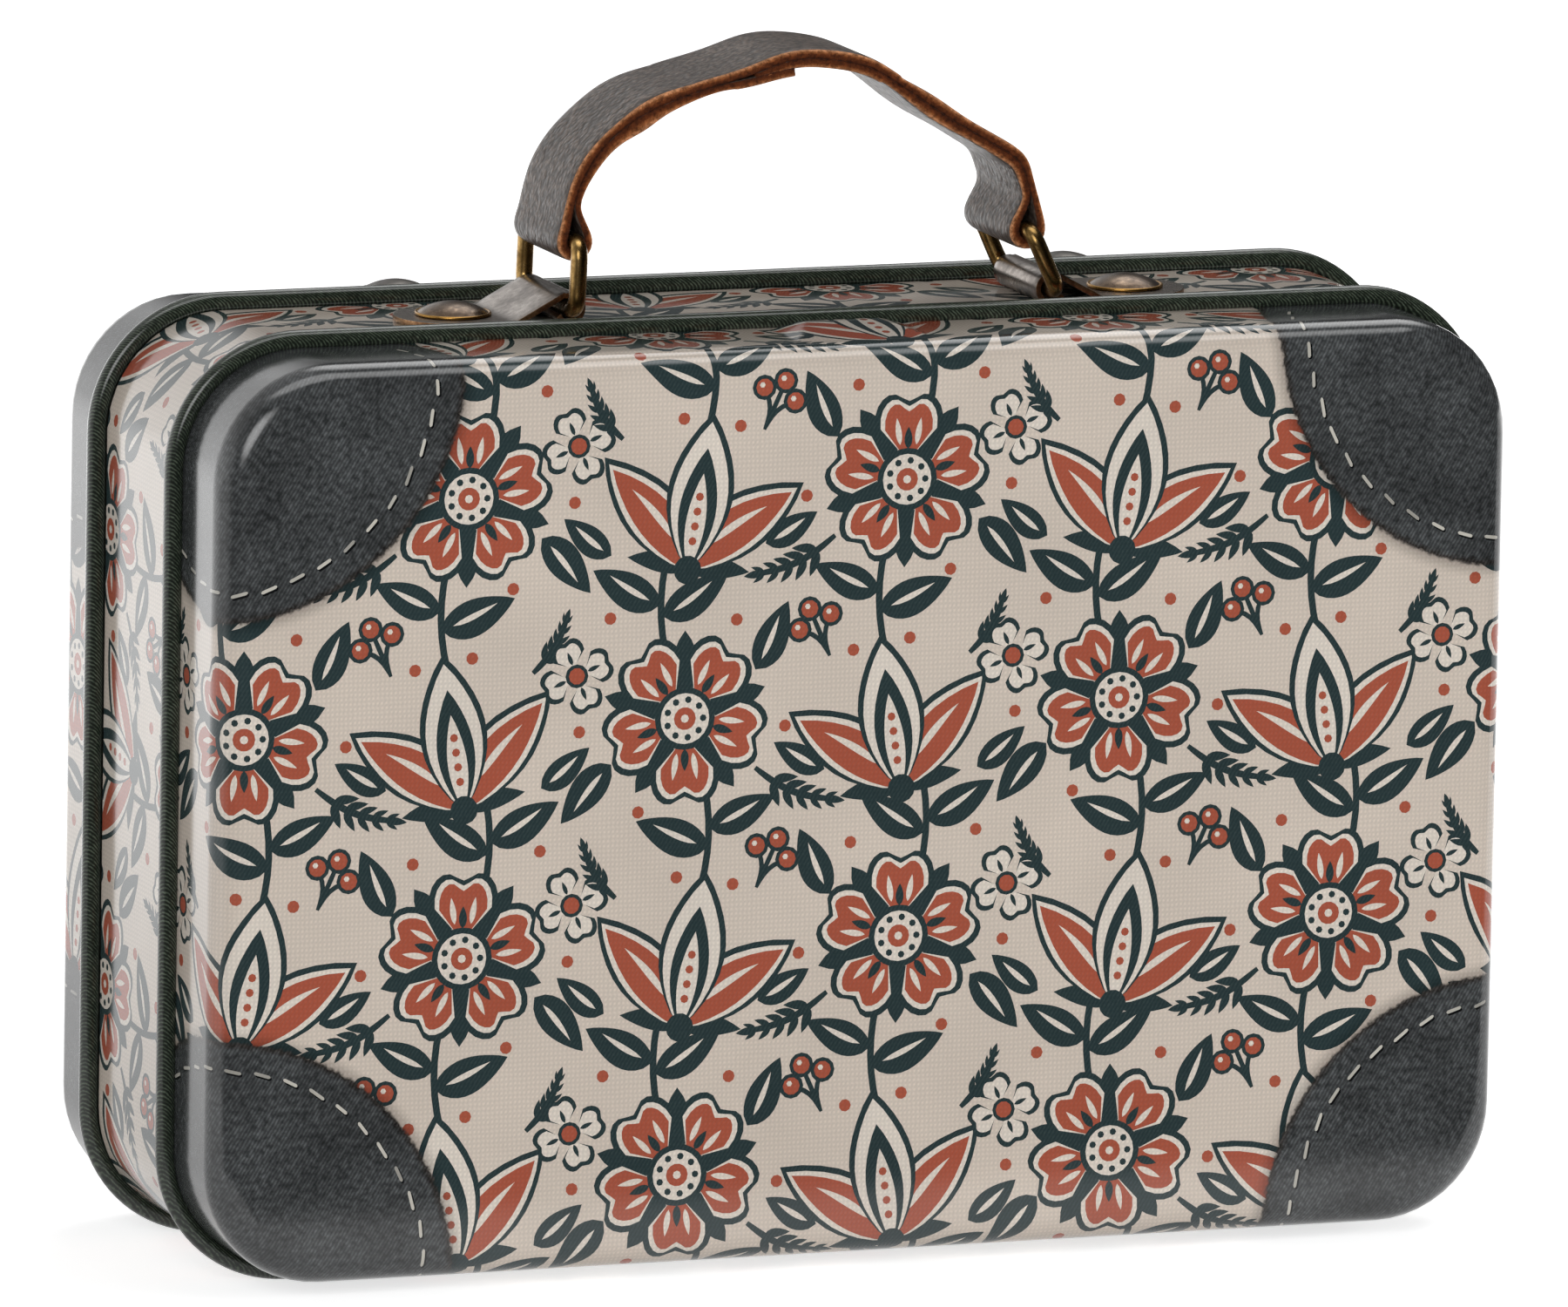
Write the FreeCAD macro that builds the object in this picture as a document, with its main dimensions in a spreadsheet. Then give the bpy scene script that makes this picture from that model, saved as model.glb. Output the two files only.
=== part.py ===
import FreeCAD, Part
import math
import os
import Sketcher

# A small tin case: rear cover, body band and hinged front lid, with a leather handle on two wire rings.
# The frame is X right, Y to the rear, Z up, in millimetres; the case stands on its rim beads at Z 0.

doc = FreeCAD.newDocument("tin_case")
sheet = doc.addObject("Spreadsheet::Sheet", "sizes")

driving_sizes = {
    "case_width": 160.0,           # wall to wall, without the rim beads
    "case_height": 108.0,
    "case_depth": 58.0,            # lid face to rear face
    "cover_depth": 15.0,           # face to the middle of the rim bead, on both covers
    "corner_radius": 14.0,
    "face_edge_radius": 3.7,
    "tin_thickness": 0.3,
    "bead_radius": 1.15,
    "bead_gap": 0.15,              # rim bead to the edge of the band
    "front_lip": 6.0,              # how far the band reaches into the lid
    "rear_lip": 12.0,
    "lid_clearance": 0.3,
    "cover_clearance": 0.05,
    "pin_clearance": 0.05,
    "pin_end_margin": 4.0,
    "tab_spacing": 92.0,           # hinge tabs, middle to middle
    "tab_width": 14.0,
    "notch_clearance": 0.5,
    "lift_width": 16.5,            # pressed thumb lift on the lid
    "lift_top_width": 9.3,
    "lift_height": 1.0,
    "lift_length": 9.0,
    "lift_top_length": 1.6,
    "lift_setback": 0.8,           # from the rim bead
    "bar_spacing": 60.0,           # lower bars of the two rings
    "bar_to_rivet": 12.0,          # a ring's lower bar to the rivet of its bracket
    "bracket_width": 14.0,
    "bracket_thickness": 0.6,
    "roll_clearance": 0.3,
    "ramp_angle": 28.0,
    "wire_radius": 1.0,
    "ring_inner_width": 16.4,
    "ring_length": 8.0,            # bar to bar
    "ring_corner_radius": 1.9,
    "left_ring_tilt": 2.0,         # tops lean in by these angles
    "right_ring_tilt": 25.0,
    "strap_width": 15.5,
    "leather_thickness": 1.1,
    "loop_clearance": 0.2,
    "left_shoulder_rise": 10.6,    # above the loop on its side
    "left_shoulder_inset": 1.0,
    "crown_rise": 21.9,            # above the left loop
    "crown_offset": 0.7,
    "right_shoulder_rise": 7.0,
    "right_shoulder_outset": 0.6,
    "left_shoulder_radius": 9.0,
    "crown_radius": 12.0,
    "right_shoulder_radius": 4.0,
    "cap_radius": 4.5,
    "cap_height": 1.6,
    "cap_rim": 0.3,
    "post_radius": 1.5,
    "post_clearance": 0.05,
    "base_radius": 3.5,
    "base_thickness": 0.8,
    "cover_rivet_setback": 6.0,    # behind the middle of the rear bead
}


class Size:
    """A length or angle as a number and as the sheet expression that gives it."""

    def __init__(self, value, text):
        self.value = value
        self.text = text

    def combine(self, other, sign, result):
        return Size(result, "(%s %s %s)" % (self.text, sign, as_size(other).text))

    def __add__(self, other):
        return self.combine(other, "+", self.value + as_size(other).value)

    def __radd__(self, other):
        return as_size(other) + self

    def __sub__(self, other):
        return self.combine(other, "-", self.value - as_size(other).value)

    def __rsub__(self, other):
        return as_size(other) - self

    def __mul__(self, other):
        return self.combine(other, "*", self.value * as_size(other).value)

    def __rmul__(self, other):
        return as_size(other) * self

    def __truediv__(self, other):
        return self.combine(other, "/", self.value / as_size(other).value)

    def __neg__(self):
        return as_size(0) - self


def as_size(number):
    return number if isinstance(number, Size) else Size(float(number), repr(float(number)))


def fill_sheet():
    sizes = {}
    for row, (alias, number) in enumerate(driving_sizes.items(), start=1):
        sheet.set("A%d" % row, alias)
        sheet.set("B%d" % row, str(number))
        sheet.setAlias("B%d" % row, alias)
        sizes[alias] = Size(number, "sizes." + alias)
    doc.recompute()
    return sizes


size = fill_sheet()

# Places and sizes that several pieces share
tin = size["tin_thickness"]
bead_inner_radius = size["bead_radius"] - tin
bead_offset = bead_inner_radius                       # wall face to the middle of the bead
half_width = size["case_width"] / 2
half_height = size["case_height"] / 2
case_middle = half_height + bead_offset + size["bead_radius"]
wall_top = case_middle + half_height
rim_distance = size["case_depth"] / 2 - size["cover_depth"]
band_edge = rim_distance - size["bead_radius"] - size["bead_gap"]
bead_height = half_height + bead_offset               # bead middle, from the middle of the case
rivet_place = size["bar_spacing"] / 2 + size["bar_to_rivet"]
cover_rivet_place = rim_distance + size["cover_rivet_setback"]
hole_radius = size["post_radius"] + size["post_clearance"]
roll_inner_radius = size["wire_radius"] + size["roll_clearance"]
roll_outer_radius = roll_inner_radius + size["bracket_thickness"]
bar_height = wall_top + roll_outer_radius
curl_sweep = 290.0                                    # degrees of curl in a bead or hinge tab


def vector(x, y, z=0.0):
    return FreeCAD.Vector(x, y, z)


def bind(target, name, wanted):
    target.setExpression(name, as_size(wanted).text)


def new_body(label, height=None):
    body = doc.addObject("PartDesign::Body", label)
    body.Label = label
    if height is not None:
        bind(body, "Placement.Base.z", height)
    return body


def origin_plane(body, role):
    return [feature for feature in body.Origin.OriginFeatures if feature.Role == role][0]


def new_sketch(body, name, role, offset=0, shift=0):
    sketch = body.newObject("Sketcher::SketchObject", name)
    sketch.AttachmentSupport = [(origin_plane(body, role), "")]
    sketch.MapMode = "FlatFace"
    bind(sketch, "AttachmentOffset.Base.z", offset)
    bind(sketch, "AttachmentOffset.Base.y", shift)
    return sketch


def constrain(sketch, kind, *place, wanted):
    index = sketch.addConstraint(Sketcher.Constraint(kind, *place, as_size(wanted).value))
    bind(sketch, "Constraints[%d]" % index, wanted)


def rounded_rectangle(sketch, width, height, radius):
    w, h, r = width.value / 2, height.value / 2, radius.value
    corners = [(w - r, -h + r, -90), (w - r, h - r, 0), (-w + r, h - r, 90), (-w + r, -h + r, 180)]
    sides = [((-w + r, -h), (w - r, -h)), ((w, -h + r), (w, h - r)),
             ((w - r, h), (-w + r, h)), ((-w, h - r), (-w, -h + r))]
    first = sketch.GeometryCount
    for (start, end), (x, y, angle) in zip(sides, corners):
        sketch.addGeometry(Part.LineSegment(vector(*start), vector(*end)))
        circle = Part.Circle(vector(x, y), vector(0, 0, 1), r)
        sketch.addGeometry(Part.ArcOfCircle(circle, math.radians(angle), math.radians(angle + 90)))
    for step in range(8):
        following = first + (step + 1) % 8
        sketch.addConstraint(Sketcher.Constraint("Tangent", first + step, 2, following, 1))
    for step, kind in enumerate(("Horizontal", "Vertical", "Horizontal", "Vertical")):
        sketch.addConstraint(Sketcher.Constraint(kind, first + 2 * step))
    for step in (3, 5, 7):
        sketch.addConstraint(Sketcher.Constraint("Equal", first + 1, first + step))
    sketch.addConstraint(Sketcher.Constraint("Symmetric", first, 1, first + 4, 1, -1, 1))
    constrain(sketch, "DistanceX", first + 6, 1, first + 2, 1, wanted=width)
    constrain(sketch, "DistanceY", first, 1, first + 4, 1, wanted=height)
    constrain(sketch, "Radius", first + 1, wanted=radius)


def rectangle(sketch, left, right, low, high):
    l, r, b, t = (as_size(side).value for side in (left, right, low, high))
    first = sketch.GeometryCount
    corners = [(l, b), (r, b), (r, t), (l, t)]
    for step in range(4):
        sketch.addGeometry(Part.LineSegment(vector(*corners[step]), vector(*corners[(step + 1) % 4])))
    for step in range(4):
        following = first + (step + 1) % 4
        sketch.addConstraint(Sketcher.Constraint("Coincident", first + step, 2, following, 1))
    for step, kind in enumerate(("Horizontal", "Vertical", "Horizontal", "Vertical")):
        sketch.addConstraint(Sketcher.Constraint(kind, first + step))
    constrain(sketch, "DistanceX", -1, 1, first, 1, wanted=left)
    constrain(sketch, "DistanceX", -1, 1, first + 1, 1, wanted=right)
    constrain(sketch, "DistanceY", -1, 1, first, 1, wanted=low)
    constrain(sketch, "DistanceY", -1, 1, first + 2, 1, wanted=high)


def circle_at(sketch, x, y, radius):
    middle = vector(as_size(x).value, as_size(y).value)
    index = sketch.addGeometry(Part.Circle(middle, vector(0, 0, 1), as_size(radius).value))
    constrain(sketch, "DistanceX", -1, 1, index, 3, wanted=x)
    constrain(sketch, "DistanceY", -1, 1, index, 3, wanted=y)
    constrain(sketch, "Radius", index, wanted=radius)


def curl_arcs(sketch, y, z, outer, inner, start):
    """Two concentric arcs of a rolled edge, swept anticlockwise from the start angle."""
    turns = (math.radians(start), math.radians(start + curl_sweep))
    middle = vector(as_size(y).value, as_size(z).value)
    indices = []
    for radius in (outer, inner):
        circle = Part.Circle(middle, vector(0, 0, 1), radius.value)
        indices.append(sketch.addGeometry(Part.ArcOfCircle(circle, *turns)))
        constrain(sketch, "Radius", indices[-1], wanted=radius)
    sketch.addConstraint(Sketcher.Constraint("Coincident", indices[0], 3, indices[1], 3))
    constrain(sketch, "DistanceX", -1, 1, indices[0], 3, wanted=y)
    constrain(sketch, "DistanceY", -1, 1, indices[0], 3, wanted=z)
    return indices


def join_points(sketch, *places):
    """Straight lines through points that are vertices of the sketch or plain coordinates."""
    points = [sketch.getPoint(*place) if isinstance(place[0], int) else vector(*place) for place in places]
    last = None
    for number in range(len(points) - 1):
        index = sketch.addGeometry(Part.LineSegment(points[number], points[number + 1]))
        if isinstance(places[number][0], int):
            sketch.addConstraint(Sketcher.Constraint("Coincident", index, 1, *places[number]))
        if last is not None:
            sketch.addConstraint(Sketcher.Constraint("Coincident", last, 2, index, 1))
        if isinstance(places[number + 1][0], int):
            sketch.addConstraint(Sketcher.Constraint("Coincident", index, 2, *places[number + 1]))
        last = index


def pad(body, name, sketch, length, reverse=False, midplane=False):
    feature = body.newObject("PartDesign::Pad", name)
    feature.Profile = sketch
    bind(feature, "Length", length)
    feature.Reversed = reverse
    feature.Midplane = midplane
    doc.recompute()
    return feature


def pocket(body, name, sketch, length=None, reverse=False, midplane=False):
    before = body.Shape.Volume
    feature = body.newObject("PartDesign::Pocket", name)
    feature.Profile = sketch
    if length is None:
        feature.Type = "ThroughAll"
    else:
        bind(feature, "Length", length)
    feature.Reversed = reverse
    feature.Midplane = midplane
    doc.recompute()
    if not body.Shape.Volume < before:
        raise RuntimeError(name + " removed nothing")
    return feature


def fillet_at(body, name, feature, y, radius):
    edges = []
    for number, edge in enumerate(feature.Shape.Edges, start=1):
        box = edge.BoundBox
        if abs(box.YMin - y.value) < 1e-6 and abs(box.YMax - y.value) < 1e-6:
            edges.append("Edge%d" % number)
    rounding = body.newObject("PartDesign::Fillet", name)
    rounding.Base = (feature, edges)
    bind(rounding, "Radius", radius)
    doc.recompute()
    return rounding


def sweep(body, name, profile, spine):
    feature = body.newObject("PartDesign::AdditivePipe", name)
    feature.Profile = profile
    feature.Spine = (spine, ["Edge%d" % (number + 1) for number in range(spine.GeometryCount)])
    doc.recompute()
    return feature


def drawn_cover(label, side):
    """A drawn shell with a rounded face edge and an open curled rim; side -1 is the front, 1 the rear."""
    body = new_body(label, case_middle)
    rim = rim_distance * -side
    outline = new_sketch(body, label + "_outline", "XZ_Plane", rim)
    rounded_rectangle(outline, size["case_width"], size["case_height"], size["corner_radius"])
    pad(body, label + "_block", outline, size["cover_depth"], reverse=side > 0)
    face = size["case_depth"] / 2 * side
    hollow = new_sketch(body, label + "_hollow_outline", "XZ_Plane", rim)
    rounded_rectangle(hollow, size["case_width"] - 2 * tin, size["case_height"] - 2 * tin,
                      size["corner_radius"] - tin)
    cavity = pocket(body, label + "_hollow", hollow, size["cover_depth"] - tin, reverse=side < 0)
    inside = fillet_at(body, label + "_inner_edge", cavity, face - tin * side, size["face_edge_radius"] - tin)
    fillet_at(body, label + "_face_edge", inside, face, size["face_edge_radius"])
    path = new_sketch(body, label + "_bead_path", "XZ_Plane", rim)
    rounded_rectangle(path, size["case_width"] + 2 * bead_offset, size["case_height"] + 2 * bead_offset,
                      size["corner_radius"] + bead_offset)
    section = new_sketch(body, label + "_bead_section", "YZ_Plane")
    start = 90.0 if side > 0 else 90.0 - curl_sweep
    outer, inner = curl_arcs(section, rim_distance * side, -bead_height, size["bead_radius"],
                             bead_inner_radius, start)
    for end in (1, 2):
        join_points(section, (outer, end), (inner, end))
    sweep(body, label + "_bead", section, path)
    return body


def rivet_holes(body, name, y):
    sketch = new_sketch(body, name + "_outline", "XY_Plane")
    for side in (-1, 1):
        circle_at(sketch, rivet_place * side, y, hole_radius)
    pocket(body, name, sketch, reverse=True)


def rear_cover():
    body = drawn_cover("rear_cover", 1)
    rivet_holes(body, "rear_cover_rivet_holes", cover_rivet_place)
    return body


def lift_section(body, name, height, width, front, back, inset):
    sketch = new_sketch(body, name, "XY_Plane", height)
    rectangle(sketch, -(width / 2 - inset), width / 2 - inset, front + inset, back - inset)
    return sketch


def loft(body, kind, name, low, high):
    before = body.Shape.Volume
    feature = body.newObject("PartDesign::" + kind, name)
    feature.Profile = low
    feature.Sections = [high]
    doc.recompute()
    if abs(body.Shape.Volume - before) < 1e-3:
        raise RuntimeError(name + " changed nothing")


def front_lid():
    body = drawn_cover("front_lid", -1)
    back = -(rim_distance + size["bead_radius"] + size["lift_setback"])
    front = back - size["lift_length"]
    top_front = back - size["lift_top_length"]
    wall_middle = half_height - tin / 2
    rise = half_height + size["lift_height"]
    outer_low = lift_section(body, "lift_foot", wall_middle, size["lift_width"], front, back, as_size(0))
    outer_high = lift_section(body, "lift_top", rise, size["lift_top_width"], top_front, back, as_size(0))
    loft(body, "AdditiveLoft", "thumb_lift", outer_low, outer_high)
    inner_low = lift_section(body, "lift_inner_foot", half_height - tin, size["lift_width"], front, back, tin)
    inner_high = lift_section(body, "lift_inner_top", rise - tin, size["lift_top_width"],
                              top_front, back, tin)
    loft(body, "SubtractiveLoft", "thumb_lift_hollow", inner_low, inner_high)
    notches = new_sketch(body, "hinge_notch_outline", "XY_Plane")
    reach = size["bead_radius"] + size["notch_clearance"]
    for side in (-1, 1):
        middle = size["tab_spacing"] / 2 * side
        half = size["tab_width"] / 2 + size["notch_clearance"]
        rectangle(notches, middle - half, middle + half, -(rim_distance + reach), -(rim_distance - reach))
    pocket(body, "hinge_notches", notches)
    return body


def band_ring(body, name, outer_inset, inner_inset, near, length, side):
    """A ring of the band's sheet between two insets from the wall face, running out from near."""
    sketch = new_sketch(body, name + "_outline", "XZ_Plane", near * -side)
    for inset in (outer_inset, inner_inset):
        rounded_rectangle(sketch, size["case_width"] - 2 * inset, size["case_height"] - 2 * inset,
                          size["corner_radius"] - inset)
    pad(body, name, sketch, length, reverse=side > 0)


def body_band():
    body = new_body("body_band", case_middle)
    band_ring(body, "band_wall", as_size(0), tin, -band_edge, 2 * band_edge, 1)
    for side, name, length, clearance in ((-1, "front", size["front_lip"], size["lid_clearance"]),
                                          (1, "rear", size["rear_lip"], size["cover_clearance"])):
        lip_face = tin + clearance
        band_ring(body, name + "_step", tin, lip_face + tin, band_edge - tin, tin, side)
        band_ring(body, name + "_lip", lip_face, lip_face + tin, band_edge, length, side)
    rivet_holes(body, "handle_rivet_holes", as_size(0))
    rivet_holes(body, "cover_rivet_holes", cover_rivet_place)
    for side in (-1, 1):
        tab = new_sketch(body, "hinge_tab_section", "YZ_Plane", size["tab_spacing"] / 2 * side)
        outer, inner = curl_arcs(tab, -rim_distance, -bead_height, size["bead_radius"],
                                 bead_inner_radius, 90.0)
        edge = -band_edge.value
        join_points(tab, (outer, 1), (edge, -half_height.value + tin.value),
                    (edge, -half_height.value), (inner, 1))
        join_points(tab, (outer, 2), (inner, 2))
        pad(body, "hinge_tab", tab, size["tab_width"], midplane=True)
    return body


def hinge_pin():
    pin = doc.addObject("Part::Cylinder", "hinge_pin")
    pin.Label = "hinge_pin"
    half = half_width - size["corner_radius"] - size["pin_end_margin"]
    bind(pin, "Radius", bead_inner_radius - size["pin_clearance"])
    bind(pin, "Height", 2 * half)
    pin.Placement.Rotation = FreeCAD.Rotation(vector(0, 1), 90)
    bind(pin, "Placement.Base.x", -half)
    bind(pin, "Placement.Base.y", -rim_distance)
    bind(pin, "Placement.Base.z", case_middle - bead_height)
    return pin


def bracket(label, side):
    """A riveted tab that rises over the ring's lower bar and rolls round it; drawn for the right side."""
    body = new_body(label, bar_height)
    if side < 0:
        body.Placement.Rotation = FreeCAD.Rotation(vector(0, 0, 1), 180)
    bar = (size["bar_spacing"] / 2).value
    angle = math.radians(size["ramp_angle"].value)
    outer, inner = roll_outer_radius.value, roll_inner_radius.value
    section = new_sketch(body, label + "_section", "XZ_Plane")
    turns = (math.pi / 2 - angle, math.pi / 2 - angle + math.radians(270))
    arcs = []
    for radius in (roll_outer_radius, roll_inner_radius):
        circle = Part.Circle(vector(bar, 0), vector(0, 0, 1), radius.value)
        arcs.append(section.addGeometry(Part.ArcOfCircle(circle, *turns)))
        constrain(section, "Radius", arcs[-1], wanted=radius)
    section.addConstraint(Sketcher.Constraint("Coincident", arcs[0], 3, arcs[1], 3))
    constrain(section, "DistanceX", -1, 1, arcs[0], 3, wanted=size["bar_spacing"] / 2)
    constrain(section, "DistanceY", arcs[0], 3, -1, 1, wanted=as_size(0))
    floor = -outer
    top = floor + size["bracket_thickness"].value

    def ramp_meets(radius, level):
        x = bar + radius * math.sin(angle)
        return x + (radius * math.cos(angle) - level) / math.tan(angle)

    end = rivet_place.value
    join_points(section, (arcs[0], 1), (ramp_meets(outer, top), top), (end, top), (end, floor),
                (ramp_meets(inner, floor), floor), (arcs[1], 1))
    join_points(section, (arcs[0], 2), (arcs[1], 2))
    pad(body, label + "_strip", section, size["bracket_width"], midplane=True)
    round_end = new_sketch(body, label + "_round_end", "XY_Plane", -roll_outer_radius)
    circle_at(round_end, rivet_place, as_size(0), size["bracket_width"] / 2)
    pad(body, label + "_tab", round_end, size["bracket_thickness"])
    hole = new_sketch(body, label + "_hole_outline", "XY_Plane")
    circle_at(hole, rivet_place, as_size(0), hole_radius)
    pocket(body, label + "_hole", hole)
    return body


def ring(label, side, tilt):
    """A wire ring with its lower bar on the body's own origin, leaning in by the tilt."""
    body = new_body(label, bar_height)
    bind(body, "Placement.Base.x", size["bar_spacing"] / 2 * side)
    body.Placement.Rotation = FreeCAD.Rotation(vector(0, 1), -side * tilt.value)
    path = new_sketch(body, label + "_path", "YZ_Plane", shift=size["ring_length"] / 2)
    rounded_rectangle(path, size["ring_inner_width"] + 2 * size["wire_radius"], size["ring_length"],
                      size["ring_corner_radius"])
    section = new_sketch(body, label + "_section", "XZ_Plane")
    circle_at(section, as_size(0), as_size(0), size["wire_radius"])
    sweep(body, label + "_wire", section, path)
    return body


def ring_top(side, tilt):
    lean = math.radians(tilt.value)
    length = size["ring_length"].value
    x = side * (size["bar_spacing"].value / 2 - length * math.sin(lean))
    return vector(x, length * math.cos(lean))


def strap_runs(corners, radii):
    """Straight runs and clockwise bends of the strap's middle line, left loop to right loop."""
    runs = []
    start = corners[0]
    for before, corner, after, radius in zip(corners, corners[1:], corners[2:], radii):
        way_in = (corner - before).normalize()
        way_out = (after - corner).normalize()
        turn = way_in.getAngle(way_out)
        reach = radius * math.tan(turn / 2)
        begin, finish = corner - way_in * reach, corner + way_out * reach
        middle = begin + vector(way_in.y, -way_in.x) * radius
        runs.append(("line", start, begin))
        runs.append(("bend", begin, finish, middle))
        start = finish
    runs.append(("line", start, corners[-1]))
    return runs


def offset_strip(sketch, runs, half):
    """Draws the outline of a strip that lies half to either side of the runs."""
    edges = []
    for way in (1, -1):
        for run in runs:
            if run[0] == "line":
                direction = (run[2] - run[1]).normalize()
                across = vector(-direction.y, direction.x) * half * way
                edges.append(sketch.addGeometry(Part.LineSegment(run[1] + across, run[2] + across)))
            else:
                middle = run[3]
                radius = (run[1] - middle).Length + half * way
                first = math.atan2(run[2].y - middle.y, run[2].x - middle.x)
                last = math.atan2(run[1].y - middle.y, run[1].x - middle.x)
                circle = Part.Circle(middle, vector(0, 0, 1), radius)
                edges.append(sketch.addGeometry(Part.ArcOfCircle(circle, first, last)))
    outer, inner = edges[:len(runs)], edges[len(runs):]
    for near, far in ((1, 1), (2, 2)):
        place = 0 if near == 1 else -1
        join_points(sketch, (outer[place], near), (inner[place], far))
    for chain in (outer, inner):
        for number in range(0, len(chain) - 2, 2):
            line, bend, following = chain[number:number + 3]
            sketch.addConstraint(Sketcher.Constraint("Coincident", line, 2, bend, 2))
            sketch.addConstraint(Sketcher.Constraint("Coincident", bend, 1, following, 1))


def handle_strap():
    """A folded leather strip: two layers between the loops that hold the rings' upper bars."""
    body = new_body("handle_strap", bar_height)
    left, right = ring_top(-1, size["left_ring_tilt"]), ring_top(1, size["right_ring_tilt"])
    corners = [left,
               left + vector(size["left_shoulder_inset"].value, size["left_shoulder_rise"].value),
               vector(size["crown_offset"].value, left.y + size["crown_rise"].value),
               right + vector(size["right_shoulder_outset"].value, size["right_shoulder_rise"].value),
               right]
    radii = [size[name].value for name in ("left_shoulder_radius", "crown_radius", "right_shoulder_radius")]
    runs = strap_runs(corners, radii)
    strip = new_sketch(body, "strap_outline", "XZ_Plane")
    offset_strip(strip, runs, size["leather_thickness"].value)
    pad(body, "strap_layers", strip, size["strap_width"], midplane=True)
    loop_radius = size["wire_radius"] + size["loop_clearance"]
    loops = new_sketch(body, "strap_loop_outline", "XZ_Plane")
    holes = new_sketch(body, "strap_hole_outline", "XZ_Plane")
    for place in (left, right):
        for sketch, radius in ((loops, loop_radius + size["leather_thickness"]), (holes, loop_radius)):
            circle_at(sketch, place.x, place.y, radius)
    pad(body, "strap_loops", loops, size["strap_width"], midplane=True)
    pocket(body, "strap_bores", holes, midplane=True)
    return body


def both_sides(body, feature):
    """Repeats a feature on the other side of the case's middle plane."""
    mirror = body.newObject("PartDesign::Mirrored", feature.Name + "_pair")
    mirror.Originals = [feature]
    mirror.MirrorPlane = (origin_plane(body, "YZ_Plane"), [""])
    body.Tip = mirror
    doc.recompute()


def rivet_caps(label, y, seat, grip):
    """Two domed caps, each with a post that goes through the grip and ends flush with its base."""
    body = new_body(label, seat)
    section = new_sketch(body, label + "_section", "XZ_Plane", -y)
    x, cap, rim = rivet_place.value, size["cap_radius"].value, size["cap_rim"].value
    post, top = size["post_radius"].value, size["cap_height"].value
    foot = -(grip + size["base_thickness"]).value
    dome_radius = (cap ** 2 + (top - rim) ** 2) / (2 * (top - rim))
    dome_middle = top - dome_radius
    circle = Part.Circle(vector(x, dome_middle), vector(0, 0, 1), dome_radius)
    dome = section.addGeometry(Part.ArcOfCircle(circle, math.atan2(rim - dome_middle, cap), math.pi / 2))
    join_points(section, (dome, 2), (x, foot), (x + post, foot), (x + post, 0.0), (x + cap, 0.0), (dome, 1))
    section.addGeometry(Part.LineSegment(vector(x, foot), vector(x, top)), True)
    rivet = body.newObject("PartDesign::Revolution", label + "_rivet")
    rivet.Profile = section
    rivet.ReferenceAxis = (section, ["Axis0"])
    doc.recompute()
    both_sides(body, rivet)
    return body


def rivet_bases(label, y, seat):
    """Two flanged bases under the sheet, each round the post of its cap."""
    body = new_body(label, seat)
    outline = new_sketch(body, label + "_outline", "XY_Plane")
    for radius in (size["base_radius"], hole_radius):
        circle_at(outline, rivet_place, y, radius)
    base = pad(body, label + "_base", outline, size["base_thickness"], reverse=True)
    both_sides(body, base)
    return body


def export(parts):
    doc.recompute()
    for item in doc.Objects:
        if "Invalid" in item.State or "Error" in item.State:
            raise RuntimeError("%s failed: %s" % (item.Label, item.State))
    for part in parts:
        if part.Shape.isNull() or not part.Shape.isValid():
            raise RuntimeError(part.Label + " has no valid shape")
    os.makedirs("parts", exist_ok=True)
    for part in parts:
        part.Shape.exportStep("parts/%s.step" % part.Label)
        print(part.Label, len(part.Shape.Solids), round(part.Shape.Volume, 1))


handle_grip = size["bracket_thickness"] + tin
cover_grip = tin + size["cover_clearance"] + tin
export([
    rear_cover(),
    front_lid(),
    body_band(),
    hinge_pin(),
    bracket("bracket_left", -1),
    bracket("bracket_right", 1),
    ring("ring_left", -1, size["left_ring_tilt"]),
    ring("ring_right", 1, size["right_ring_tilt"]),
    handle_strap(),
    rivet_caps("handle_rivet_caps", as_size(0), wall_top + size["bracket_thickness"], handle_grip),
    rivet_bases("handle_rivet_bases", as_size(0), wall_top - tin),
    rivet_caps("cover_rivet_caps", cover_rivet_place, wall_top, cover_grip),
    rivet_bases("cover_rivet_bases", cover_rivet_place, wall_top - cover_grip),
])
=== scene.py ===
import bpy
import bmesh
import math
import random
from mathutils import Matrix, Vector
from mathutils.geometry import delaunay_2d_cdt


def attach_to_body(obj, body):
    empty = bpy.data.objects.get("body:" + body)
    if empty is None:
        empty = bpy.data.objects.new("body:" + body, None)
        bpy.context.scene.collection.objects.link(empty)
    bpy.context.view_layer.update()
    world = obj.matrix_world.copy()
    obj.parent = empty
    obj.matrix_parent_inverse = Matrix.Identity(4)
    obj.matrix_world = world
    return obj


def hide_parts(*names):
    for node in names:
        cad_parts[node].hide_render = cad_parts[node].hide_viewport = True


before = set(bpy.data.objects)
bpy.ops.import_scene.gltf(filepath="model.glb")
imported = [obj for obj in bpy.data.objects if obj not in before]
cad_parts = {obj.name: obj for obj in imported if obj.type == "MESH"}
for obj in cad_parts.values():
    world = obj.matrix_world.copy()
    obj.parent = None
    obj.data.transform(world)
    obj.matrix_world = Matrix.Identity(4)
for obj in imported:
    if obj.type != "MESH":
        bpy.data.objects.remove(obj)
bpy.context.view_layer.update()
mm = 0.001
print("frame loaded:", len(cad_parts), "nodes")

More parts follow.
